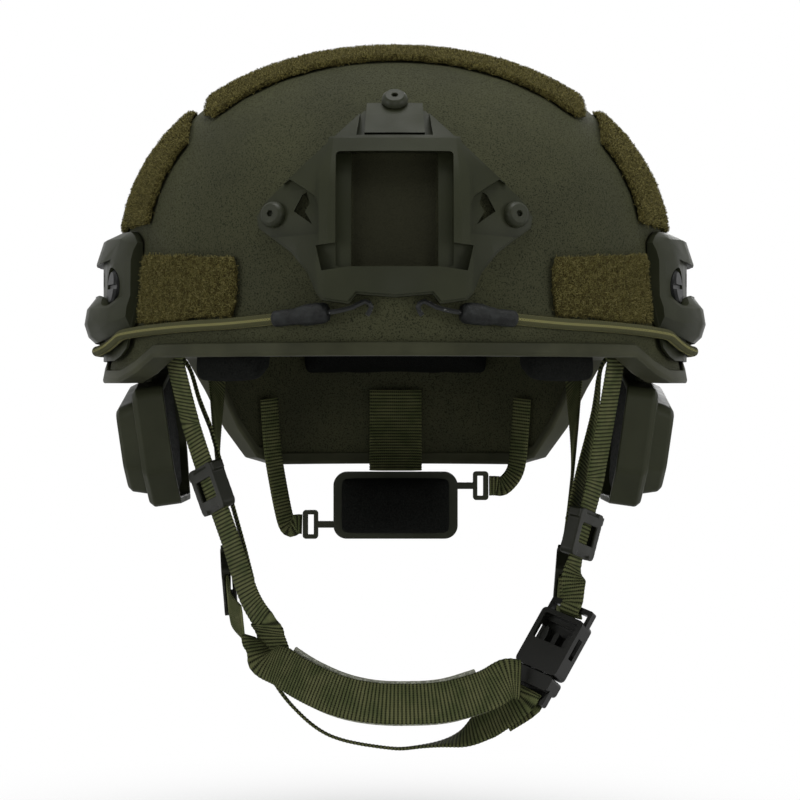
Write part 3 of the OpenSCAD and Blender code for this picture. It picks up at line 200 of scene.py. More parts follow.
def window_shade_mask(p):
    """1 on the part of the shell that shows through the shroud's window, where the paint is darkened as
    painted shade, and 0 elsewhere.
    """
    x, y, z = p.parts(p.place)
    low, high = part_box("shroud")
    front_end = cad_low.y * FRONT_SHARE
    low_end = low[2] + WINDOW_FROM_LOW
    high_end = high[2] - WINDOW_FROM_HIGH
    front = p.span(y, front_end, front_end + FRONT_FADE, 1, 0)
    beside = p.span(p.math("ABSOLUTE", x), WINDOW_HALF, WINDOW_HALF + WINDOW_SIDE_FADE, 1, 0)
    over = p.span(z, low_end, low_end + WINDOW_LOW_FADE)
    under = p.span(z, high_end, high_end + WINDOW_HIGH_FADE, 1, 0)
    return p.math("MULTIPLY", p.math("MULTIPLY", front, beside), p.math("MULTIPLY", over, under))


def shell_paint():
    """Textured paint: dark pits between raised grains, and painted shade in the shroud's window, darker and
    with fainter pits.
    """
    p = Paint("shell_paint", 0.72, 0.04)
    grain = p.noise(1750, 2, 0.55)
    pits = p.span(grain, 0.54, 0.62)
    patchy = p.span(p.noise(26, 2), 0.3, 0.7)
    base = p.mix(patchy, "#313224", "#383928")
    speckled = p.mix(p.math("MULTIPLY", pits, 0.75), base, "#0f100a")
    # Painted shade: the shell inside the shroud's recessed window is darker, with fainter pits
    painted_window_shade = p.mix(p.math("MULTIPLY", pits, 0.3), "#1f1f15", "#12120c")
    p.colour(p.mix(window_shade_mask(p), speckled, painted_window_shade))
    p.set("Roughness", p.span(grain, 0.4, 0.7, 0.62, 0.82))
    p.bump(grain, 0.7, 0.0004)
    return p.material


def rubber():
    """Rubber in two close tones, with a fine grain."""
    p = Paint("trim_rubber", 0.55, 0.08)
    p.colour(p.mix(p.span(p.noise(60, 3), 0.35, 0.7), "#292a1d", "#343526"))
    p.bump(p.noise(1500, 2), 0.12, 0.0002)
    return p.material


def painted_steel(name, colour, worn_and_glint):
    """Painted fasteners, with bare worn spots; on the hook wire their pale tone is also a painted highlight.
    """
    p = Paint(name, 0.45, 0.12)
    wear_and_glint = p.span(p.noise(420, 4, 0.7), 0.6, 0.72)
    p.colour(p.mix(wear_and_glint, colour, worn_and_glint))
    p.set("Roughness", p.span(wear_and_glint, 0, 1, 0.45, 0.32))
    p.bump(p.noise(1800, 2), 0.1, 0.0002)
    return p.material


def loop_pile():
    """Loop pile: tufts in several tones, with painted shade dark between them."""
    p = Paint("loop_pile", 0.92, 0.03, 0.06)
    fibre = p.noise(2100, 4, 0.75)
    tuft = p.noise(380, 3, 0.6)
    tone = p.mix(p.span(tuft, 0.36, 0.66), "#453f20", "#6b6438")
    # Painted shade: the low places between the fibres are darkened
    p.colour(p.mix(p.span(fibre, 0.42, 0.6), "#100e06", tone))
    p.bump(fibre, 0.9, 0.0012)
    p.bump(tuft, 0.5, 0.0012)
    return p.material


def pile_yarn():
    """The loops that stand out of the pile, in tones that change from place to place."""
    p = Paint("pile_yarn", 0.85, 0.03, 0.06)
    p.colour(p.mix(p.span(p.noise(900, 2), 0.35, 0.65), "#37331a", "#6e6840"))
    return p.material


# The spacing of the webbing's ribs and threads
RIB = 1.5 * MM
THREAD = 0.9 * MM


def webbing_weave():
    """Ribbed webbing: its ribs run across it, with finer lines of thread along it, and painted shade in the
    grooves between them.
    """
    p = Paint("webbing", 0.8, 0.04)
    along, across = p.parts(p.uv)[1], p.parts(p.uv)[0]
    rib = p.math("COSINE", p.math("MULTIPLY", along, 2 * math.pi / RIB))
    thread = p.math("COSINE", p.math("MULTIPLY", across, 2 * math.pi / THREAD))
    height = p.math("ADD", rib, p.math("MULTIPLY", thread, 0.3))
    wander = p.span(p.noise(150, 4), 0.35, 0.65)
    yarn = p.mix(wander, "#444a2e", "#55573a")
    # Painted shade: the low places between the ribs and threads are darkened
    p.colour(p.mix(p.span(height, -1.1, 0.35), "#12140b", yarn))
    p.bump(height, 0.55, 0.00035)
    p.bump(p.noise(2600, 2), 0.35, 0.0003)
    return p.material


# The braid's yarns round the cord, their climb along it, and its tracer lines
BRAID_YARNS = 12
BRAID_CLIMB = 1.1 * MM
TRACERS = 4


def braid():
    """Braided elastic: crossing yarns with painted shade in the hollows between them, and paler tracer lines
    along it.
    """
    p = Paint("braid", 0.78, 0.04)
    round_it, along = p.parts(p.uv)[0], p.parts(p.uv)[1]
    turn = p.math("MULTIPLY", round_it, 2 * math.pi * BRAID_YARNS)
    climb = p.math("MULTIPLY", along, 2 * math.pi / BRAID_CLIMB)
    one = p.math("COSINE", p.math("ADD", turn, climb))
    two = p.math("COSINE", p.math("SUBTRACT", turn, climb))
    height = p.math("MAXIMUM", one, two)
    tracer_turn = p.math("MULTIPLY", round_it, 2 * math.pi * TRACERS)
    tracer = p.span(p.math("COSINE", tracer_turn), 0.3, 0.9)
    yarn = p.mix(tracer, "#43432c", "#78754b")
    # Painted shade: the hollows between the crossing yarns are darkened
    p.colour(p.mix(p.span(height, -0.4, 0.7), "#303025", yarn))
    p.bump(height, 0.5, 0.0003)
    return p.material


def shrunk_tube():
    """Dark shrunk tube, wrinkled."""
    p = Paint("shrunk_tube", 0.5, 0.12)
    p.colour(p.mix(p.span(p.noise(260, 4), 0.4, 0.7), "#111211", "#1d1f1e"))
    p.bump(p.noise(520, 4, 0.6), 0.7, 0.0008)
    return p.material


def knit(name, dark, light, sheen=0.0, scale=1600):
    """Brushed knit cloth over foam."""
    p = Paint(name, 0.95, 0.02, sheen)
    fuzz = p.noise(scale, 3, 0.7)
    p.colour(p.mix(p.span(fuzz, 0.35, 0.7), dark, light))
    p.bump(fuzz, 0.5, 0.0006)
    p.bump(p.noise(120, 2), 0.2, 0.001)
    return p.material


def open_foam():
    """Foam with open pores, darkened inside as painted shade."""
    p = Paint("open_foam", 0.95, 0.04)
    pores = p.cells(700)
    # Painted shade: the pores' hollows are darkened
    p.colour(p.mix(p.span(pores, 0.2, 0.6), "#0f100f", "#262725"))
    p.bump(pores, 0.6, 0.0008)
    return p.material


MATERIALS = {
    "shell": shell_paint(),
    "trim": rubber(),
    "moulding": moulded("smooth_olive", "#25271a", "#1f2115", 0.46, 2600, 0.09),
    "cover": moulded("cover_olive", "#2b2d20", "#25271b", 0.48, 1900),
    "slider": moulded("slider_olive", "#191a12", "#14150e", 0.44, 2600, 0.1),
    "buckle": moulded("buckle_olive", "#0f100b", "#0b0b08", 0.34, 3000, 0.22),
    "dial": moulded("dial_olive", "#2a2c22", "#22241b", 0.48),
    "rack": moulded("rack_olive", "#2e3026", "#26281e", 0.48),
    "black_plates": moulded("black_plastic", "#1b1c1a", "#131413", 0.5),
    "olive_screws": painted_steel("olive_steel", "#23251a", "#2d2f23"),
    "black_screws": painted_steel("black_steel", "#0f100f", "#272827"),
    # The hook wire's pale spots are bare steel, and also painted highlights standing in for its glint
    "hook_wire": painted_steel("hook_steel", "#232423", "#8b8c8a"),
    "loop_pile": loop_pile(),
    "webbing": webbing_weave(),
    "lining": knit("lining_knit", "#5c5e53", "#a5a79a", 0.1, 900),
    "cord": braid(),
    "sleeve": shrunk_tube(),
    "pile_yarn": pile_yarn(),
    "pad_cloth": knit("pad_knit", "#0a0b0a", "#1a1b19"),
    "foam": open_foam(),
}


# Points of the CAD's meshes that are nearer than this are one point
WELD = 2e-6


def welded(node):
    """A CAD node's mesh with its split vertices joined, as a bmesh."""
    bm = bmesh.new()
    bm.from_mesh(frame["nodes"][node].data)
    bmesh.ops.remove_doubles(bm, verts=bm.verts, dist=WELD)
    return bm


def new_piece(name, mesh, slot, finish=None):
    mesh.materials.clear()
    mesh.materials.append(MATERIALS[finish or slot])
    piece = bpy.data.objects.new(name, mesh)
    scene.collection.objects.link(piece)
    return piece


def shade_smooth(mesh):
    mesh.polygons.foreach_set("use_smooth", [True] * len(mesh.polygons))


def from_bmesh(name, bm, slot):
    mesh = bpy.data.meshes.new(name)
    bm.to_mesh(mesh)
    bm.free()
    shade_smooth(mesh)
    return new_piece(name, mesh, slot)


def settled(piece):
    """The piece's mesh with its modifiers worked in."""
    shape = piece.evaluated_get(bpy.context.evaluated_depsgraph_get())
    mesh = bpy.data.meshes.new_from_object(shape)
    piece.modifiers.clear()
    piece.data = mesh
    return piece


# Faces within FLAT degrees of each other are joined, and an edge of more than SHARP degrees isn't smoothed
FLAT = 0.4
SHARP = 32


def finish_rigid(node, bevel):
    """A rigid node with softened edges and smooth faces. bevel is in millimetres."""
    bm = welded(node)
    bmesh.ops.dissolve_limit(bm, angle_limit=math.radians(FLAT), verts=bm.verts, edges=bm.edges)
    piece = from_bmesh(node + "_finish", bm, slot_of[node])
    piece.data.set_sharp_from_angle(angle=math.radians(SHARP))
    if bevel:
        rounding = piece.modifiers.new("rounding", "BEVEL")
        rounding.width = bevel * MM
        rounding.segments = 2
        rounding.limit_method = "ANGLE"
        rounding.angle_limit = math.radians(SHARP)
        rounding.miter_outer = "MITER_ARC"
        piece.modifiers.new("normals", "WEIGHTED_NORMAL").keep_sharp = True
    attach(piece, body_of[node])
    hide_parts(node)
    return piece


# A point between two rings of a sweep has this many edges, and a point of an end ring has another number
INNER_LINKS = 6


def sweeps(node):
    """The rings of each swept solid in a node, from its upper end, each an array of points."""
    bm = welded(node)
    bm.verts.ensure_lookup_table()
    links = {v.index: {e.other_vert(v).index for e in v.link_edges} for v in bm.verts}
    places = np.array([v.co[:] for v in bm.verts])
    bm.free()
    found = []
    left = set(links)
    while left:
        solid = grown({min(left)}, links, left)
        left -= solid
        ends = {k for k in solid if len(links[k]) != INNER_LINKS}
        layer = grown({min(ends)}, links, ends)
        rings = []
        seen = set()
        while layer:
            rings.append(places[sorted(layer)])
            seen |= layer
            layer = set().union(*(links[k] for k in layer)) - seen
        if rings[0][:, 2].mean() < rings[-1][:, 2].mean():
            rings.reverse()
        found.append(rings)
    return sorted(found, key=len, reverse=True)


def grown(start, links, within):
    """Everything linked to start inside the set within."""
    reached = set(start)
    edge = list(start)
    while edge:
        for k in (links[edge.pop()] & within) - reached:
            reached.add(k)
            edge.append(k)
    return reached


def unit(v):
    return v / np.linalg.norm(v)


def slope(points, k):
    """The curve's direction at a point, where the longer side counts more and so stays straight."""
    here = points[k]
    before = here - points[max(k - 1, 0)]
    after = points[min(k + 1, len(points) - 1)] - here
    return (before + after) / (np.linalg.norm(before) + np.linalg.norm(after))


def smooth_line(points, step):
    """Points about step apart along a smooth curve through the given ones, with their places."""
    rows, marks = [], []
    last = len(points) - 1
    for i in range(last):
        b, c = points[i], points[i + 1]
        length = np.linalg.norm(c - b)
        start, end = slope(points, i) * length, slope(points, i + 1) * length
        count = max(1, round(length / step))
        for k in range(count):
            u = k / count
            rows.append(b + u * start + u * u * (3 * (c - b) - 2 * start - end)
                        + u ** 3 * (2 * (b - c) + start + end))
            marks.append(i + u)
    return np.array(rows + [points[last]]), np.array(marks + [last])


def even_line(points, step):
    """The smooth curve at exactly even spacing, with each point's place among the given ones."""
    rows, marks = smooth_line(points, step / 3)
    length = np.concatenate([[0], np.cumsum(np.linalg.norm(np.diff(rows, axis=0), axis=1))])
    count = max(2, round(length[-1] / step))
    at = np.linspace(0, length[-1], count + 1)
    even = np.stack([np.interp(at, length, rows[:, k]) for k in range(3)], axis=1)
    return even, np.interp(at, length, marks), length[-1]


def ring_widths(rings):
    """The direction of the webbing's width at each ring, kept from turning over."""
    found = []
    for ring in rings:
        spread = ring - ring.mean(0)
        direction = np.linalg.svd(spread)[2][0]
        if found and direction @ found[-1] < 0:
            direction = -direction
        found.append(direction)
    return np.array(found)


# A webbing's section, as shares of its half width and half thickness
SECTION = [
    (-1, 0), (-0.95, 0.7), (-0.6, 1), (0, 1), (0.6, 1), (0.95, 0.7),
    (1, 0), (0.95, -0.7), (0.6, -1), (0, -1), (-0.6, -1), (-0.95, -0.7),
]


def tube_mesh(name, rings, uvs, slot):
    """A closed skin over rings of points, with a UV pair for each point and its seam's end."""
    count, sides = len(rings), len(rings[0])
    bm = bmesh.new()
    layer = bm.loops.layers.uv.new("weave")
    rows = [[bm.verts.new(p) for p in ring] for ring in rings]
    for i in range(count - 1):
        for j in range(sides):
            k = (j + 1) % sides
            face = bm.faces.new([rows[i][j], rows[i][k], rows[i + 1][k], rows[i + 1][j]])
            corners = [uvs[i][j], uvs[i][j + 1], uvs[i + 1][j + 1], uvs[i + 1][j]]
            for loop, corner in zip(face.loops, corners):
                loop[layer].uv = corner
    bm.faces.new(list(reversed(rows[0])))
    bm.faces.new(rows[-1])
    bmesh.ops.recalc_face_normals(bm, faces=bm.faces)
    return from_bmesh(name, bm, slot)


def ring_size(ring, width):
    """Half the width and half the thickness of a ring of webbing."""
    spread = ring - ring.mean(0)
    half = np.abs(spread @ width).max()
    flat = spread - np.outer(spread @ width, width)
    return half, np.linalg.norm(flat, axis=1).max()


# Half the webbing's thickness, in millimetres
WEB_HALF_THICK = 0.75


def web_ring(centre, across, half, heading):
    """The four corners of a ring of webbing. centre and the half width are in millimetres."""
    a = unit(np.array(across))
    n = unit(np.cross(np.array(heading), a))
    signs = ((1, 1), (1, -1), (-1, -1), (-1, 1))
    corners = [np.array(centre) + a * u * half + n * v * WEB_HALF_THICK for u, v in signs]
    return np.array(corners) * MM


def eased_rows(rows, passes):
    """Rows averaged with their neighbours, with the two ends kept."""
    for _ in range(passes):
        middle = 0.25 * rows[:-2] + 0.5 * rows[1:-1] + 0.25 * rows[2:]
        rows = np.concatenate([rows[:1], middle, rows[-1:]])
    return rows


# How often the turn and the width of webbing are averaged along it
TURN_PASSES = 24
WIDTH_PASSES = 8
# The thickness and the width between two ribs, as shares of those on a rib
VALLEY_THICKNESS = 0.78
VALLEY_WIDTH = 0.98
FUZZ_SCALE = 900


def web_piece(name, rings, slot="webbing", ribbed=True, fuzz=0.0):
    """Webbing along a swept solid's rings: real ribs across it and a rounded edge."""
    centres = np.array([r.mean(0) for r in rings])
    widths = ring_widths(rings)
    sizes = np.array([ring_size(r, w) for r, w in zip(rings, widths)])
    thickness = np.median(sizes[:, 1])
    line, marks, length = even_line(centres, RIB / 2)
    spots = np.arange(len(rings))
    turns = np.stack([np.interp(marks, spots, widths[:, k]) for k in range(3)], axis=1)
    turns = eased_rows(turns, TURN_PASSES)
    halves = eased_rows(np.interp(marks, spots, sizes[:, 0]), WIDTH_PASSES)
    skin, uvs = [], []
    for i, (p, half) in enumerate(zip(line, halves)):
        heading = unit(line[min(i + 1, len(line) - 1)] - line[max(i - 1, 0)])
        n = unit(np.cross(heading, turns[i]))
        a = unit(np.cross(n, heading))
        thin, slim = (1, 1) if i % 2 == 0 or not ribbed else (VALLEY_THICKNESS, VALLEY_WIDTH)
        row, pair = [], []
        for u, v in SECTION:
            q = p + a * (u * half * slim) + n * (v * thickness * thin)
            if fuzz:
                q = q + n * fuzz * noise.noise(Vector(q) * FUZZ_SCALE)
            row.append(q)
            pair.append((u * half, length * i / (len(line) - 1)))
        pair.append(pair[0])
        skin.append(row)
        uvs.append(pair)
    return tube_mesh(name, skin, uvs, slot)


def round_piece(name, centres, radius, step, sides, slot, swell=None):
    """A round cord or sleeve along points. swell gives the radius at a share of its length and a place."""
    line, _, length = even_line(np.array(centres), step)
    up = np.array([0, 0, 1.0])
    skin, uvs = [], []
    for i, p in enumerate(line):
        heading = unit(line[min(i + 1, len(line) - 1)] - line[max(i - 1, 0)])
        u = unit(np.cross(heading, up))
        v = np.cross(u, heading)
        share = i / (len(line) - 1)
        row = []
        for j in range(sides):
            turn = 2 * math.pi * j / sides
            out = u * math.cos(turn) + v * math.sin(turn)
            r = radius if swell is None else swell(share, p + out * radius)
            row.append(p + out * r)
        skin.append(row)
        uvs.append([(j / sides, length * share) for j in range(sides + 1)])
    return tube_mesh(name, skin, uvs, slot)


def seat(piece, node):
    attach(piece, body_of[node])
    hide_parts(node)
    return piece


# Rigid nodes, each with the width in millimetres by which its edges are rounded
EDGES = {
    "shell": 0, "edge_trim": 0.5, "shroud": 0.7, "shroud_screws": 0.2, "rail_bolts": 0.2,
    "rail_left": 0.6, "rail_right": 0.6, "hook_left": 0, "hook_right": 0, "ear_cover_left": 0.6,
    "ear_cover_right": 0.6, "ear_screws": 0.15, "strap_anchors": 0.2,
    "buckle_socket": 0.3, "buckle_plug": 0.3, "prong_inner": 0.2, "prong_outer": 0.2,
    "dial_housing": 0.4, "dial_knob": 0.25, "rack_left": 0.15, "rack_right": 0.15,
}
for node, edge in EDGES.items():
    finish_rigid(node, edge)

# Webbing
for node in ["strap_return_left", "strap_rear_left", "strap_rear_right", "under_chin_strap",
             "nape_hanger"]:
    seat(web_piece(node + "_web", sweeps(node)[0]), node)

# The nape links hang from the shell down to the dial's racks. They are built in place and not attached to a
# body, and the middles of their two ends are found but not used
for side in ("left", "right"):
    rings = sweeps("nape_link_" + side)[0]
    link = web_piece(f"nape_link_{side}_web", rings)
    upper, lower = Vector(rings[0].mean(0)), Vector(rings[-1].mean(0))
    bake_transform(link)
    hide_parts("nape_link_" + side)


def eased(u):
    """A share held between 0 and 1, with a soft start and end."""
    u = min(max(u, 0), 1)
    return u * u * (3 - 2 * u)


def gathered(rings, from_z, to_z, share):
    """Rings drawn together, in width and thickness, to a share of their size between two heights."""
    drawn = []
    for ring in rings:
        centre = ring.mean(0)
        size = 1 + (share - 1) * eased((from_z - centre[2]) / (from_z - to_z))
        drawn.append(centre + (ring - centre) * size)
    return drawn


# The left front strap bunches up to go round the buckle's bar, and its end lies close behind it
BUNCH = 0.58
BUNCH_FROM_Z = -66 * MM
BUNCH_TO_Z = -90 * MM
TUCK = np.array([-4.6 * MM, 0, 0])
END_NARROWING = 0.15
left_front = sweeps("strap_front_left")[0]
turn_at = min(range(len(left_front)), key=lambda k: left_front[k][:, 2].mean())
left_front, left_end = left_front[:turn_at + 1], left_front[turn_at + 1:]
left_front = gathered(left_front, BUNCH_FROM_Z, BUNCH_TO_Z, BUNCH)
for k, ring in enumerate(left_end):
    centre = ring.mean(0)
    share = (k + 1) / len(left_end)
    size = BUNCH * (1 - END_NARROWING * share)
    left_front.append(centre + TUCK * share + (ring - centre) * size)
seat(web_piece("strap_front_left_web", left_front), "strap_front_left")

# The chin band narrows and turns edge on at the jaw, towards the rear strap. Each row is a ring's middle,
# the direction of its width, its half width and its heading
BAND_HEADING = (0.67, -0.72, -0.2)
BAND_END = [
    ((-57.8, -61.2, -110.3), (0, 0.95, 0.3), 4.5, (0.5, -0.6, -0.6)),
    ((-55.0, -64.8, -113.6), (0, 0.8, 0.6), 6.0, BAND_HEADING),
    ((-51.2, -68.2, -118.6), (0, 0.6, 0.8), 7.2, BAND_HEADING),
]
band_end = [web_ring(*row) for row in BAND_END]
band = sweeps("chin_band")[0]
seat(web_piece("chin_band_web", band_end + band[len(BAND_END):]), "chin_band")

# The right front strap's end goes on behind the chin band, with rows as above
LOWER_END = [
    ((-49.4, -65.2, -108.6), (0.7, -0.7, 0.08), 8, (0.35, 0.25, -0.9)),
    ((-47.4, -63.8, -115.6), (0.77, -0.63, 0.05), 8, (0.25, 0.2, -0.95)),
]
lower_front, lower_return = sweeps("strap_lower_right")
lower_front = lower_front + [web_ring(*row) for row in LOWER_END]
for node, lower in (("strap_front_right", lower_front), ("strap_return_right", lower_return)):
    upper = sweeps(node)[0]
    # The two CAD halves meet at the swing's hinge, and the cloth is one
    web = web_piece(node + "_web", upper[:-1] + lower[1:])
    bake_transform(web)
    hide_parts(node, "strap_lower_right")

seat(web_piece("chin_lining_web", sweeps("chin_lining")[0], "lining", False, 0.3 * MM), "chin_lining")

# Stretch cords and their sleeves, which start before the cord's front end and run along it
CORD_R = 2.1 * MM
CORD_STEP = 1.0 * MM
CORD_SIDES = 16
SLEEVE_R = 3.5 * MM
SLEEVE_STEP = 0.8 * MM
SLEEVE_SIDES = 24
SLEEVE_BEFORE = 3 * MM
SLEEVE_ALONG = 19 * MM
SLEEVE_FAT = 4.0 * MM
SLEEVE_THIN = 3.1 * MM
# Shares of a sleeve's length: where it begins to thin, over how much, and how long its two lips are
THINS_FROM = 0.35
THINS_OVER = 0.3
FRONT_LIP = 0.06
BACK_LIP = 0.04
# Shares of its radius: how far it draws in at a lip, and how deep its wrinkles are
LIP_DEPTH = 0.25
WRINKLE = 0.09
COARSE_SCALE = 330
FINE_SCALE = 800


def crinkled(share, q):
    """A shrunk sleeve's radius: fat over the hook, thin over the cord, with lips and wrinkles."""
    body = SLEEVE_FAT + (SLEEVE_THIN - SLEEVE_FAT) * eased((share - THINS_FROM) / THINS_OVER)
    lip = 1 - LIP_DEPTH + LIP_DEPTH * min(1, share / FRONT_LIP, (1 - share) / BACK_LIP)
    wrinkle = noise.noise(Vector(q) * COARSE_SCALE) + 0.5 * noise.noise(Vector(q) * FINE_SCALE)
    return body * (lip + WRINKLE * wrinkle)


for side in ("left", "right"):
    cord = sweeps("cord_" + side)[0]
    centres = np.array([r.mean(0) for r in cord])
    if abs(centres[0][0]) > abs(centres[-1][0]):
        centres = centres[::-1]
    braided = round_piece(f"cord_{side}_braid", centres, CORD_R, CORD_STEP, CORD_SIDES, "cord")
    seat(braided, "cord_" + side)
    axis = unit(centres[1] - centres[0])
    ends = [centres[0] - axis * SLEEVE_BEFORE, centres[0] + axis * SLEEVE_ALONG]
    tube = round_piece(f"sleeve_{side}_tube", ends, SLEEVE_R, SLEEVE_STEP, SLEEVE_SIDES, "sleeve", crinkled)
    seat(tube, "sleeve_" + side)


def remeshed(name, node, voxel, slot):
    """A node's shape with even faces, about as large as the voxel."""
    piece = from_bmesh(name, welded(node), slot)
    even = piece.modifiers.new("even", "REMESH")
    even.mode = "VOXEL"
    even.voxel_size = voxel
    return settled(piece)


def relax(piece, times):
    """Evens out a mesh, which softens its edges."""
    bm = bmesh.new()
    bm.from_mesh(piece.data)
    for _ in range(times):
        bmesh.ops.smooth_vert(bm, verts=bm.verts, factor=0.5,
                              use_axis_x=True, use_axis_y=True, use_axis_z=True)
    bm.to_mesh(piece.data)
    bm.free()


def roughen(piece, depth, scale):
    """Moves each point along its normal by noise."""
    mesh = piece.data
    normals = np.zeros(len(mesh.vertices) * 3)
    mesh.vertex_normals.foreach_get("vector", normals)
    normals = normals.reshape(-1, 3)
    places = np.array([v.co[:] for v in mesh.vertices])
    amounts = np.array([noise.noise(Vector(p) * scale) for p in places])
    mesh.vertices.foreach_set("co", (places + normals * (amounts * depth)[:, None]).ravel())
    mesh.update()
    shade_smooth(mesh)


# Sliders, moulded with soft edges
SLIDER_VOXEL = 0.32 * MM
SLIDER_PASSES = 3
for node in ["slider_left", "slider_right", "rear_slider_left", "rear_slider_right"]:
    slider = remeshed(node + "_finish", node, SLIDER_VOXEL, slot_of[node])
    relax(slider, SLIDER_PASSES)
    shade_smooth(slider.data)
    seat(slider, node)

# Loops of yarn: how many, how far from a face's middle, and their half width, reach and height in millimetres
LOOPS_PER_M2 = 900000
SCATTER = 0.45
YARN_HALF = 0.09
LOOP_REACH = (0.3, 0.6)
LOOP_HEIGHT = (0.5, 1.1)
# How deep a loop's two ends lie in the pile, in millimetres, and the shape between them as shares
FIRST_DEPTH = 0.3
LAST_DEPTH = 0.2
SHOULDER = 0.8
LOWER_SHOULDER = 0.7
LEAN = 3
# A point inside the helmet, from which the outer face of a patch faces away
INSIDE = Vector((0, 0, 0.04))


def yarn_loops(name, mesh):
    """Small loops of flat yarn that stand out of the outer face of a pile."""
    draw = np.random.default_rng(len(mesh.polygons))
    faces = [f for f in mesh.polygons if f.normal.dot(f.center - INSIDE) > 0]
    areas = np.array([f.area for f in faces])
    count = int(areas.sum() * LOOPS_PER_M2)
    bm = bmesh.new()
    for k in draw.choice(len(faces), count, p=areas / areas.sum()):
        face = faces[k]
        normal = np.array(face.normal)
        spot = np.array(face.center) + draw.normal(0, SCATTER * MM, 3)
        spot = spot - normal * ((spot - np.array(face.center)) @ normal)
        along = unit(np.cross(normal, draw.normal(0, 1, 3)))
        side = np.cross(normal, along) * YARN_HALF * MM
        lean = side * draw.normal(0, LEAN)
        span = along * draw.uniform(*LOOP_REACH) * MM
        rise = normal * draw.uniform(*LOOP_HEIGHT) * MM
        path = [
            spot - span - normal * FIRST_DEPTH * MM,
            spot - span * SHOULDER + rise * LOWER_SHOULDER + lean,
            spot + span * SHOULDER + rise + lean,
            spot + span - normal * LAST_DEPTH * MM,
        ]
        rows = [[bm.verts.new(q - side), bm.verts.new(q + side)] for q in path]
        for (a, b), (c, d) in zip(rows, rows[1:]):
            bm.faces.new([a, b, d, c])
    made = bpy.data.meshes.new(name)
    bm.to_mesh(made)
    bm.free()
    shade_smooth(made)
    return new_piece(name, made, "loop_pile", "pile_yarn")


# Loop-pile patches
PILE_VOXEL = 1.3 * MM
PILE_DEPTH = 0.5 * MM
PILE_SCALE = 420
for node in ["patch_crown", "patch_rear", "patch_side_left", "patch_side_right",
             "patch_front_left", "patch_front_right"]:
    pile = remeshed(node + "_pile", node, PILE_VOXEL, "loop_pile")
    relax(pile, 1)
    roughen(pile, PILE_DEPTH, PILE_SCALE)
    seat(pile, node)
    seat(yarn_loops(node + "_loops", pile.data), node)


CLOTH_FRAMES = 14
CLOTH_TENSION = 12
CLOTH_BENDING = 0.4


def puffed(piece, pressure, cap):
    """Swells a closed cushion by a short cloth simulation, with no point moving past cap."""
    rest = np.array([v.co[:] for v in piece.data.vertices])
    cloth = piece.modifiers.new("cloth", "CLOTH")
    cloth.settings.use_pressure = True
    cloth.settings.uniform_pressure_force = pressure
    cloth.settings.effector_weights.gravity = 0
    cloth.settings.tension_stiffness = CLOTH_TENSION
    cloth.settings.bending_stiffness = CLOTH_BENDING
    cloth.point_cache.frame_start = 1
    cloth.point_cache.frame_end = CLOTH_FRAMES
    for number in range(1, CLOTH_FRAMES + 1):
        scene.frame_set(number)
    settled(piece)
    scene.frame_set(1)
    moved = np.array([v.co[:] for v in piece.data.vertices]) - rest
    size = np.linalg.norm(moved, axis=1)
    moved *= np.minimum(1, cap / np.maximum(size, 1e-9))[:, None]
    piece.data.vertices.foreach_set("co", (rest + moved).ravel())
    piece.data.update()


# Pads
PAD_VOXEL = 4 * MM
PAD_PRESSURE = 4
PAD_CAP = 2 * MM
for node in ["pad_front", "pad_crown", "pad_rear", "pad_temple_left", "pad_temple_right",
             "pad_back_left", "pad_back_right", "nape_pad"]:
    pad = remeshed(node + "_cushion", node, PAD_VOXEL, "pad_cloth")
    relax(pad, 2)
    puffed(pad, PAD_PRESSURE, PAD_CAP)
    pad.modifiers.new("round", "SUBSURF").levels = 1
    settled(pad)
    shade_smooth(pad.data)
    seat(pad, node)

# The foam that lines the ear covers
FOAM_VOXEL = 2.5 * MM
FOAM_DEPTH = 0.2 * MM
FOAM_SCALE = 300
for node in ["ear_foam_left", "ear_foam_right"]:
    lining = remeshed(node + "_sheet", node, FOAM_VOXEL, "foam")
    relax(lining, 2)
    roughen(lining, FOAM_DEPTH, FOAM_SCALE)
    seat(lining, node)


# Floor and lights. The floor is plain white to the camera beyond WHITE_FROM, and NEAR_WHITE of that up to
# SHADE_TO, so that the object's shadow there is soft
SHADE_TO = 0.1
WHITE_FROM = 0.32
NEAR_WHITE = 0.6


def white_stage(name, pale):
    """Pale to the light, and plain white to the camera well away from the object."""
    p = Paint(name, 0.9, 0.1)
    p.set("Base Color", [pale, pale, pale, 1])
    glow = p.node("ShaderNodeEmission", {"Color": [1, 1, 1, 1], "Strength": 1.0})
    rays = p.tree.nodes.new("ShaderNodeLightPath")
    seen = p.math("MAXIMUM", rays.outputs["Is Camera Ray"], rays.outputs["Is Glossy Ray"])
    seen = p.math("MAXIMUM", seen, rays.outputs["Is Transmission Ray"])
    x, y, _ = p.parts(p.place)
    away = p.math("SQRT", p.math("ADD", p.math("MULTIPLY", x, x), p.math("MULTIPLY", y, y)))
    factor = p.math("MULTIPLY", seen, p.span(away, SHADE_TO, WHITE_FROM, NEAR_WHITE, 1))
    mixed = p.node("ShaderNodeMixShader", {0: factor, 1: p.shader.outputs[0], 2: glow})
    p.tree.links.new(mixed, p.tree.nodes["Material Output"].inputs["Surface"])
    return p.material


FLOOR_HALF = 6
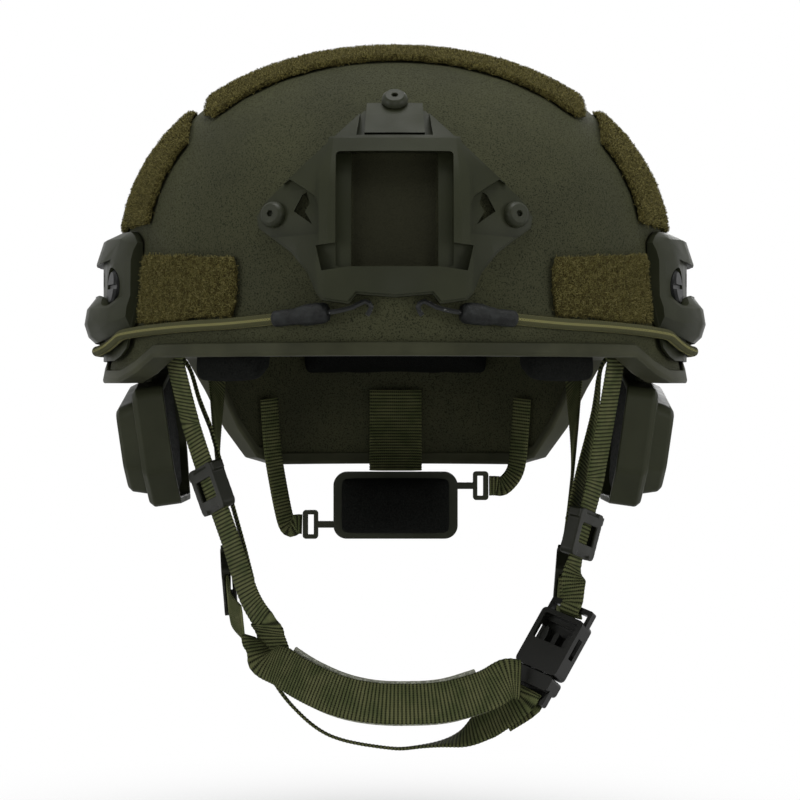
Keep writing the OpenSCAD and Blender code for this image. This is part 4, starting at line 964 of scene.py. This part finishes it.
# Room below the object for the chin strap when it swings down
ROOM_BELOW = 45 * MM
floor_mesh = bpy.data.meshes.new("floor")
corners = [(x * FLOOR_HALF, y * FLOOR_HALF, 0) for x, y in ((-1, -1), (1, -1), (1, 1), (-1, 1))]
floor_mesh.from_pydata(corners, [], [(0, 1, 2, 3)])
floor = bpy.data.objects.new("floor", floor_mesh)
scene.collection.objects.link(floor)
floor.location.z = cad_low.z - ROOM_BELOW
floor_mesh.materials.append(white_stage("floor_white", 0.9))


LAMPS_AIM = Vector((0, 0, 0.02))


def lamp(name, at, size, power):
    """A round area lamp, aimed at the object. at and size are in metres, and power in watts."""
    light = bpy.data.lights.new(name, "AREA")
    light.shape = "DISK"
    light.size = size
    light.energy = power
    made = bpy.data.objects.new(name, light)
    scene.collection.objects.link(made)
    made.location = at
    made.rotation_euler = (LAMPS_AIM - Vector(at)).to_track_quat("-Z", "Y").to_euler()


lamp("top", (0.05, -0.3, 1.45), 1.0, 22)
lamp("left", (1.3, -0.9, 0.15), 0.6, 8.5)
lamp("right", (-1.3, -0.9, 0.15), 0.6, 8.5)
lamp("front", (0.1, -1.8, 0.1), 0.5, 4)
lamp("back", (0.2, 1.6, 0.5), 0.8, 8)

# The world is white to the camera, in reflections and through glass, and lights the object only by AMBIENT
AMBIENT = 0.13
world = bpy.data.worlds.new("studio")
scene.world = world
world.use_nodes = True
tree = world.node_tree
back = tree.nodes["Background"]
rays = tree.nodes.new("ShaderNodeLightPath")
total = rays.outputs["Is Camera Ray"]
for kind in ("Is Glossy Ray", "Is Transmission Ray"):
    add = tree.nodes.new("ShaderNodeMath")
    add.operation = "MAXIMUM"
    tree.links.new(total, add.inputs[0])
    tree.links.new(rays.outputs[kind], add.inputs[1])
    total = add.outputs[0]
strength = tree.nodes.new("ShaderNodeMapRange")
strength.inputs[3].default_value = AMBIENT
strength.inputs[4].default_value = 1.0
tree.links.new(total, strength.inputs[0])
tree.links.new(strength.outputs[0], back.inputs["Strength"])
back.inputs["Color"].default_value = (1, 1, 1, 1)
